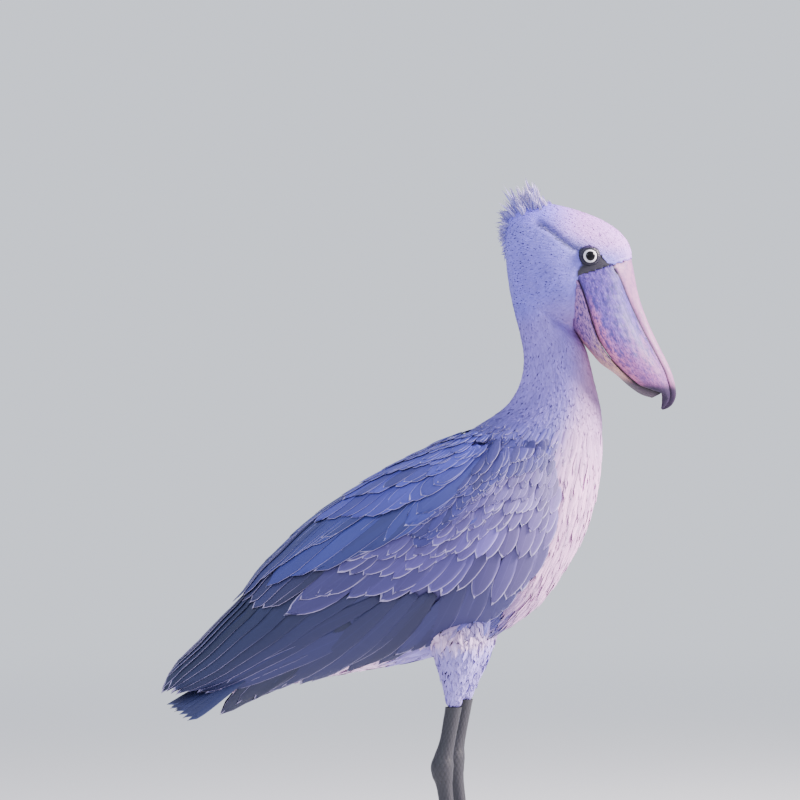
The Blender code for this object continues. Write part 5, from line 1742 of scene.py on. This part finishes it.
wing_finish = feather_material("wing_plumage", 1.5, paint(200, 186, 232), 0.62, 0.16, 0.22, 0.28,
                               0.55, 0.75)
tail_finish = feather_material("tail_plumage", 1.3, paint(96, 104, 150), 0.5, 0.14, 0.25, 0.2,
                               0.55, 0.0)
body_finish = feather_material("body_plumage", 0.8, paint(214, 196, 226), 0.35, 0.08, 0.18, 0.35,
                               0.55, 0.0)
fine_finish = feather_material("fine_plumage", 0.4, paint(200, 186, 228), 0.12, 0.0, 0.08, 0.17,
                               0.08, 0.0)
crest_finish = feather_material("crest_plumage", 0.8, paint(224, 208, 236), 0.35, 0.06, 0.25, 0.18,
                                0.15, 0.0)

# %% [markdown]
# Bare skin, scales and claws share a fine grain, which is noise in the bird's own space. The horn
# of the bill follows its own map, stretched so that the mottling runs in streaks to the tip.

# %% Grain and horn patterns
def grain_group():
    """Fine grain: noise at the places of the object, by scale and detail."""
    tree, given, result = new_group("grain", ("scale", "detail"), ("grain",))
    place = node(tree, "ShaderNodeTexCoord").outputs["Object"]
    feed(tree, result["grain"], noise(tree, place, given["scale"], given["detail"]))
    return tree


# Colours of the horn that both halves of the bill share
HORN_BLOOM = paint(200, 158, 206)
HORN_BLOTCH = paint(52, 44, 112)
HORN_SPECK = paint(60, 40, 88)
RIDGE = paint(112, 76, 130)
RIDGE_STREAK = paint(164, 110, 152)
# Dark end: the nail's own colour on the upper half, painted shade near the tip of the lower half
NAIL_AND_TIP_SHADE = paint(34, 26, 52)
# Painted shade for the grooves, the slots at the base and the gape edge
PAINTED_PIT_SHADE = paint(22, 12, 28)


def horn_noise(tree, across, along, detail, roughness):
    """Noise on the horn's own map, finer across than along, so that it runs in streaks."""
    web = node(tree, "ShaderNodeUVMap", uv_map="horn").outputs["UV"]
    stretch = node(tree, "ShaderNodeVectorMath", {0: web}, operation="MULTIPLY")
    stretch.inputs[1].default_value = (across, along, 1.0)
    return noise(tree, stretch.outputs["Vector"], 1.0, detail, roughness)


def horn_group():
    """Horn of the bill: a mottled panel that turns to another colour at the lower edge and towards
    the tip, slate specks, a ridge, painted shade in the grooves, slots and along the gape, and a dark
    end: the nail's own colour on the upper half, painted shade of the shaded tip on the lower half."""
    tree, given, result = new_group(
        "horn_pattern", ("panel_colour", "edge_colour", "tip_colour", "dark_from", "dark_to",
                         "ridge_share"), ("colour", "roughness", "streak"))
    way, row, pit = (attribute(tree, key) for key in ("way", "row", "pit"))
    large = horn_noise(tree, 15.0, 7.0, 4.0, 0.6)
    streak = horn_noise(tree, 44.0, 20.0, 5.0, 0.7)
    fine = horn_noise(tree, 150.0, 62.0, 3.0, 0.6)
    uneven_row = math_node(tree, "ADD", row, times(tree, large, 4.0))
    colour = mixed(tree, ranged(tree, uneven_row, 4.6, 7.6), given["panel_colour"],
                   given["tip_colour"])
    uneven_way = math_node(tree, "ADD", way, times(tree, streak, 0.45))
    low = times(tree, ranged(tree, uneven_way, 1.0, 1.2, 0.0, 0.9),
                    ranged(tree, row, 0.8, 3.6))
    colour = mixed(tree, low, colour, given["edge_colour"])
    colour = mixed(tree, ranged(tree, fine, 0.55, 0.72, 0.0, 0.34), colour, HORN_BLOOM)
    thin = times(tree, ranged(tree, row, 4.0, 7.0, 1.0, 0.5),
                     ranged(tree, way, 0.8, 1.0, 1.0, 0.6))
    blotch = times(tree, ranged(tree, streak, 0.55, 0.4, 0.0, 0.92), thin)
    colour = mixed(tree, blotch, colour, HORN_BLOTCH)
    colour = mixed(tree, ranged(tree, fine, 0.49, 0.36, 0.0, 0.72), colour, HORN_SPECK)
    ridge = mixed(tree, ranged(tree, streak, 0.35, 0.6, 0.6, 0.0), RIDGE_STREAK, RIDGE)
    colour = mixed(tree, ranged(tree, way, 0.128, 0.15, given["ridge_share"], 0.0), colour, ridge)
    # Dark end: the nail on the upper half, painted shade of the shaded underside near the lower half's tip
    ended = ranged(tree, row, given["dark_from"], given["dark_to"], 0.0, 0.95)
    colour = mixed(tree, ended, colour, NAIL_AND_TIP_SHADE)
    # Painted shade in the pits and along the gape
    colour = mixed(tree, times(tree, pit, 0.92), colour, PAINTED_PIT_SHADE)
    feed(tree, result["colour"], colour)
    feed(tree, result["roughness"], ranged(tree, fine, 0.3, 0.7, 0.4, 0.58))
    feed(tree, result["streak"], streak)
    return tree


GRAIN = grain_group()
HORN_PATTERN = horn_group()

# %% Skin, horn and eyes
def skin_material():
    """Plumage colour on the feathered parts and dark slate on the bare face, with fine grain."""
    made, tree, shader = new_material("skin", 0.55)
    tint = node(tree, "ShaderNodeAttribute", attribute_name="tint").outputs["Color"]
    grain = placed(tree, GRAIN, scale=900.0, detail=3.0)["grain"]
    dark = mixed(tree, 1.0, tint, (0.88, 0.88, 0.9), "MULTIPLY")
    colour = mixed(tree, ranged(tree, grain, 0.3, 0.7), dark, tint)
    feed(tree, shader.inputs["Base Color"], colour)
    bumped(tree, shader, grain, 0.35, 0.0006)
    return made


def horn_material(name, **values):
    """Horn of one half of the bill: its own colours, and where its dark end starts."""
    made, tree, shader = new_material(name, 0.45)
    pattern = placed(tree, HORN_PATTERN, **values)
    feed(tree, shader.inputs["Base Color"], pattern["colour"])
    feed(tree, shader.inputs["Roughness"], pattern["roughness"])
    shader.inputs["Specular IOR Level"].default_value = 0.22
    bumped(tree, shader, pattern["streak"], 0.35, 0.0007)
    return made


def eye_material():
    """Rings by the distance from the eye's axis, in mm, under a wet clear coat."""
    made, tree, shader = new_material("eye", 0.25)
    reach, turn = attribute(tree, "reach"), attribute(tree, "turn")
    pupil, iris = PUPIL * 1000, IRIS * 1000
    rays = math_node(tree, "SINE", times(tree, turn, 60.0))
    colour = mixed(tree, ranged(tree, rays, -1.0, 1.0, 0.0, 0.35), paint(226, 222, 232),
                   paint(170, 168, 190))
    ring = ranged(tree, reach, pupil, pupil + 1.6, 0.45, 0.0)
    colour = mixed(tree, ring, colour, paint(150, 146, 160))
    black = ranged(tree, reach, pupil - 0.25, pupil + 0.25, 1.0, 0.0)
    colour = mixed(tree, black, colour, (0.004, 0.004, 0.006))
    edge = ranged(tree, reach, iris - 0.7, iris + 0.3)
    colour = mixed(tree, edge, colour, (0.01, 0.009, 0.014))
    feed(tree, shader.inputs["Base Color"], colour)
    shader.inputs["Specular IOR Level"].default_value = 0.05
    shader.inputs["Coat Weight"].default_value = 0.2
    shader.inputs["Coat Roughness"].default_value = 0.03
    return made


def bare_material(name, base, raised_colour, roughness, scale):
    """Bare skin or scaly skin: two colours by how far a scale is raised, and a fine grain."""
    made, tree, shader = new_material(name, roughness)
    grain = placed(tree, GRAIN, scale=scale, detail=4.0)["grain"]
    raised = ranged(tree, attribute(tree, "raised"), 0.0, 0.8)
    colour = mixed(tree, raised, base, raised_colour)
    colour = mixed(tree, ranged(tree, grain, 0.35, 0.7, 0.0, 0.35), colour, base)
    feed(tree, shader.inputs["Base Color"], colour)
    bumped(tree, shader, grain, 0.4, 0.0004)
    return made


# %% [markdown]
# The skin takes the plumage's colour, but slate on the bare face, and the colour of the flight
# feathers and coverts where the folded wing covers it, so that small gaps there don't show.

# %% Colours of the skin and the finishes
SLATE = linear(20, 16, 38)


def under_wing_place(points):
    """1 on the flesh of the folded wings, and 0 elsewhere, by height under the wing's upper tiers."""
    x, z, y = points[:, 0] - SHIFT, points[:, 2], np.abs(points[:, 1])
    low = np.interp(x, [-0.2, -0.05, 0.02, 0.09, 0.14], [0.395, 0.435, 0.47, 0.53, 0.6])
    high = np.interp(x, [-0.3, -0.2, 0.0, 0.1, 0.14], [0.5, 0.58, 0.7, 0.69, 0.66])
    level = ramp(0.0, 0.01, z - low) * ramp(0.01, -0.01, z - high)
    return level * (x < 0.12) * ramp(0.03, 0.05, y)


colour = plumage_colour(skin_points) * 0.95
covered = under_wing_place(skin_points)
front = ramp(-0.12, 0.02, skin_points[:, 0] - SHIFT)[:, None]
colour = mix(colour, FLIGHT + (COVERT * 0.7 - FLIGHT) * front, covered)
colour = mix(colour, SLATE, bare_share(skin_points))
tint = np.ones((len(skin_points), 4))
tint[:, :3] = colour
give(skin, "tint", tint, "FLOAT_COLOR")
skin_finish = skin_material()
upper_horn = horn_material("bill_upper_horn", panel_colour=paint(88, 66, 152),
                           edge_colour=paint(190, 106, 146), tip_colour=paint(138, 82, 140),
                           dark_from=6.4, dark_to=7.4, ridge_share=0.95)
# The lower half's dark end is painted shade for the shaded underside of its tip
lower_horn = horn_material("bill_lower_horn", panel_colour=paint(168, 120, 178),
                           edge_colour=paint(222, 150, 150), tip_colour=paint(218, 168, 146),
                           dark_from=5.9, dark_to=6.9, ridge_share=0.0)
eye_finish = eye_material()
lid_finish = bare_material("lid_skin", paint(24, 21, 40), paint(50, 45, 74), 0.4, 1200.0)
leg_finish = bare_material("leg_skin", paint(16, 16, 20), paint(46, 45, 54), 0.5, 700.0)
claw_finish = bare_material("claw_horn", paint(26, 24, 28), paint(44, 40, 46), 0.3, 300.0)

# %% What each piece stands for
def finish_piece(item, finish, slot, *nodes):
    """Gives a piece its material and names the solids that it replaces; the slot is not used."""
    item.data.materials.clear()
    item.data.materials.append(finish)
    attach(item, "root")
    if nodes:
        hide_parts(*nodes)
    item.data.calc_loop_triangles()
    print(item.name, "has", len(item.data.loop_triangles), "triangles")


finish_piece(skin, skin_finish, "body_plumage", "torso", "neck", "head", "thigh_right", "thigh_left")
finish_piece(head_coat, fine_finish, "head_plumage")
finish_piece(neck_coat, fine_finish, "neck_plumage")
finish_piece(body_coat, body_finish, "body_plumage")
for item in thigh_coats:
    finish_piece(item, fine_finish, "thigh_plumage")
for item, word in zip(wing_pieces, ("right", "left")):
    finish_piece(item, wing_finish, "wing_feathers", "wing_" + word)
finish_piece(crest, crest_finish, "head_plumage", "crest")
finish_piece(tail, tail_finish, "tail_feathers", "tail")
finish_piece(bill_upper, upper_horn, "bill_horn", "bill_upper")
finish_piece(bill_lower, lower_horn, "bill_horn", "bill_lower")
for k, word in enumerate(("right", "left")):
    finish_piece(eyes[k], eye_finish, "eye", "eye_" + word)
    finish_piece(lids[k], lid_finish, "head_plumage")
    finish_piece(legs[k], leg_finish, "leg_skin", "shank_" + word, "tarsus_" + word)
    finish_piece(feet[k], leg_finish, "leg_skin", *["toe_" + word + "_" + toe[0] for toe in TOES])
    finish_piece(claws[k], claw_finish, "claw_horn", *["claw_" + word + "_" + toe[0] for toe in TOES])

# %% [markdown]
# ## Floor, light and camera
# The floor is pale and plain and fades into the background. The studio light follows the photo's:
# bluish from all round, and one warm lamp high on the right.

# %% Floor
BACKDROP = (0.95, 1.0, 1.12)
BLACK = (0.0, 0.0, 0.0)
FLOOR_SIDES = 96


def floor_material():
    """Pale floor that turns into the backdrop's own light far from the bird."""
    made, tree, shader = new_material("floor", 1.0)
    shader.inputs["Specular IOR Level"].default_value = 0.0
    place = node(tree, "ShaderNodeTexCoord").outputs["Object"]
    far = node(tree, "ShaderNodeVectorMath", {0: place}, operation="LENGTH")
    share = ranged(tree, far.outputs["Value"], 1.6, 6.0)
    feed(tree, shader.inputs["Base Color"], mixed(tree, share, paint(196, 198, 202), BLACK))
    feed(tree, shader.inputs["Emission Color"], mixed(tree, share, BLACK, BACKDROP))
    shader.inputs["Emission Strength"].default_value = 1.0
    return made


turn = turns(FLOOR_SIDES)
ring = np.concatenate([[0.0], np.geomspace(0.5, 40, 24)])
disc = ring[:, None, None] * np.stack([np.cos(turn), np.sin(turn), 0 * turn], axis=-1)
floor = add_mesh("floor", disc, grid_faces(len(ring), FLOOR_SIDES, closed=True))
floor.data.materials.append(floor_material())

# %% Light
world = bpy.context.scene.world or bpy.data.worlds.new("studio")
bpy.context.scene.world = world
world.use_nodes = True
sky = world.node_tree.nodes["Background"]
sky.inputs["Color"].default_value = BACKDROP + (1.0,)
sky.inputs["Strength"].default_value = 1.0


def lamp(name, place, aim, width, power, colour):
    """A large square lamp that shines from a place towards a point."""
    data = bpy.data.lights.new(name, "AREA")
    data.size = width
    data.energy = power
    data.color = colour
    made = bpy.data.objects.new(name, data)
    made.location = place
    made.rotation_euler = (Vector(aim) - Vector(place)).to_track_quat("-Z", "Y").to_euler()
    bpy.context.scene.collection.objects.link(made)


lamp("key", (3.0, -0.15, 2.4), (0.05, 0.0, 0.75), 1.1, 620.0, (1.0, 0.89, 0.86))
lamp("fill", (-1.2, -3.4, 2.6), (0.0, 0.0, 0.6), 1.2, 45.0, (0.86, 0.91, 1.0))
lamp("sky", (-1.8, -0.7, 3.4), (-0.1, 0.0, 0.7), 1.6, 50.0, (0.72, 0.8, 1.0))

# %% Camera
CAMERA_DISTANCE = 12.0
CAMERA_DROP = math.radians(2.5)
aim = Vector((-0.075 + SHIFT, 0.0, 0.8055))
camera_data = bpy.data.cameras.new("camera")
camera_data.lens = 360.0
camera_data.sensor_width = 36.0
camera = bpy.data.objects.new("camera", camera_data)
camera.location = aim + Vector((0.0, -math.cos(CAMERA_DROP), math.sin(CAMERA_DROP))) * CAMERA_DISTANCE
camera.rotation_euler = (aim - camera.location).to_track_quat("-Z", "Y").to_euler()
bpy.context.scene.collection.objects.link(camera)
bpy.context.scene.camera = camera
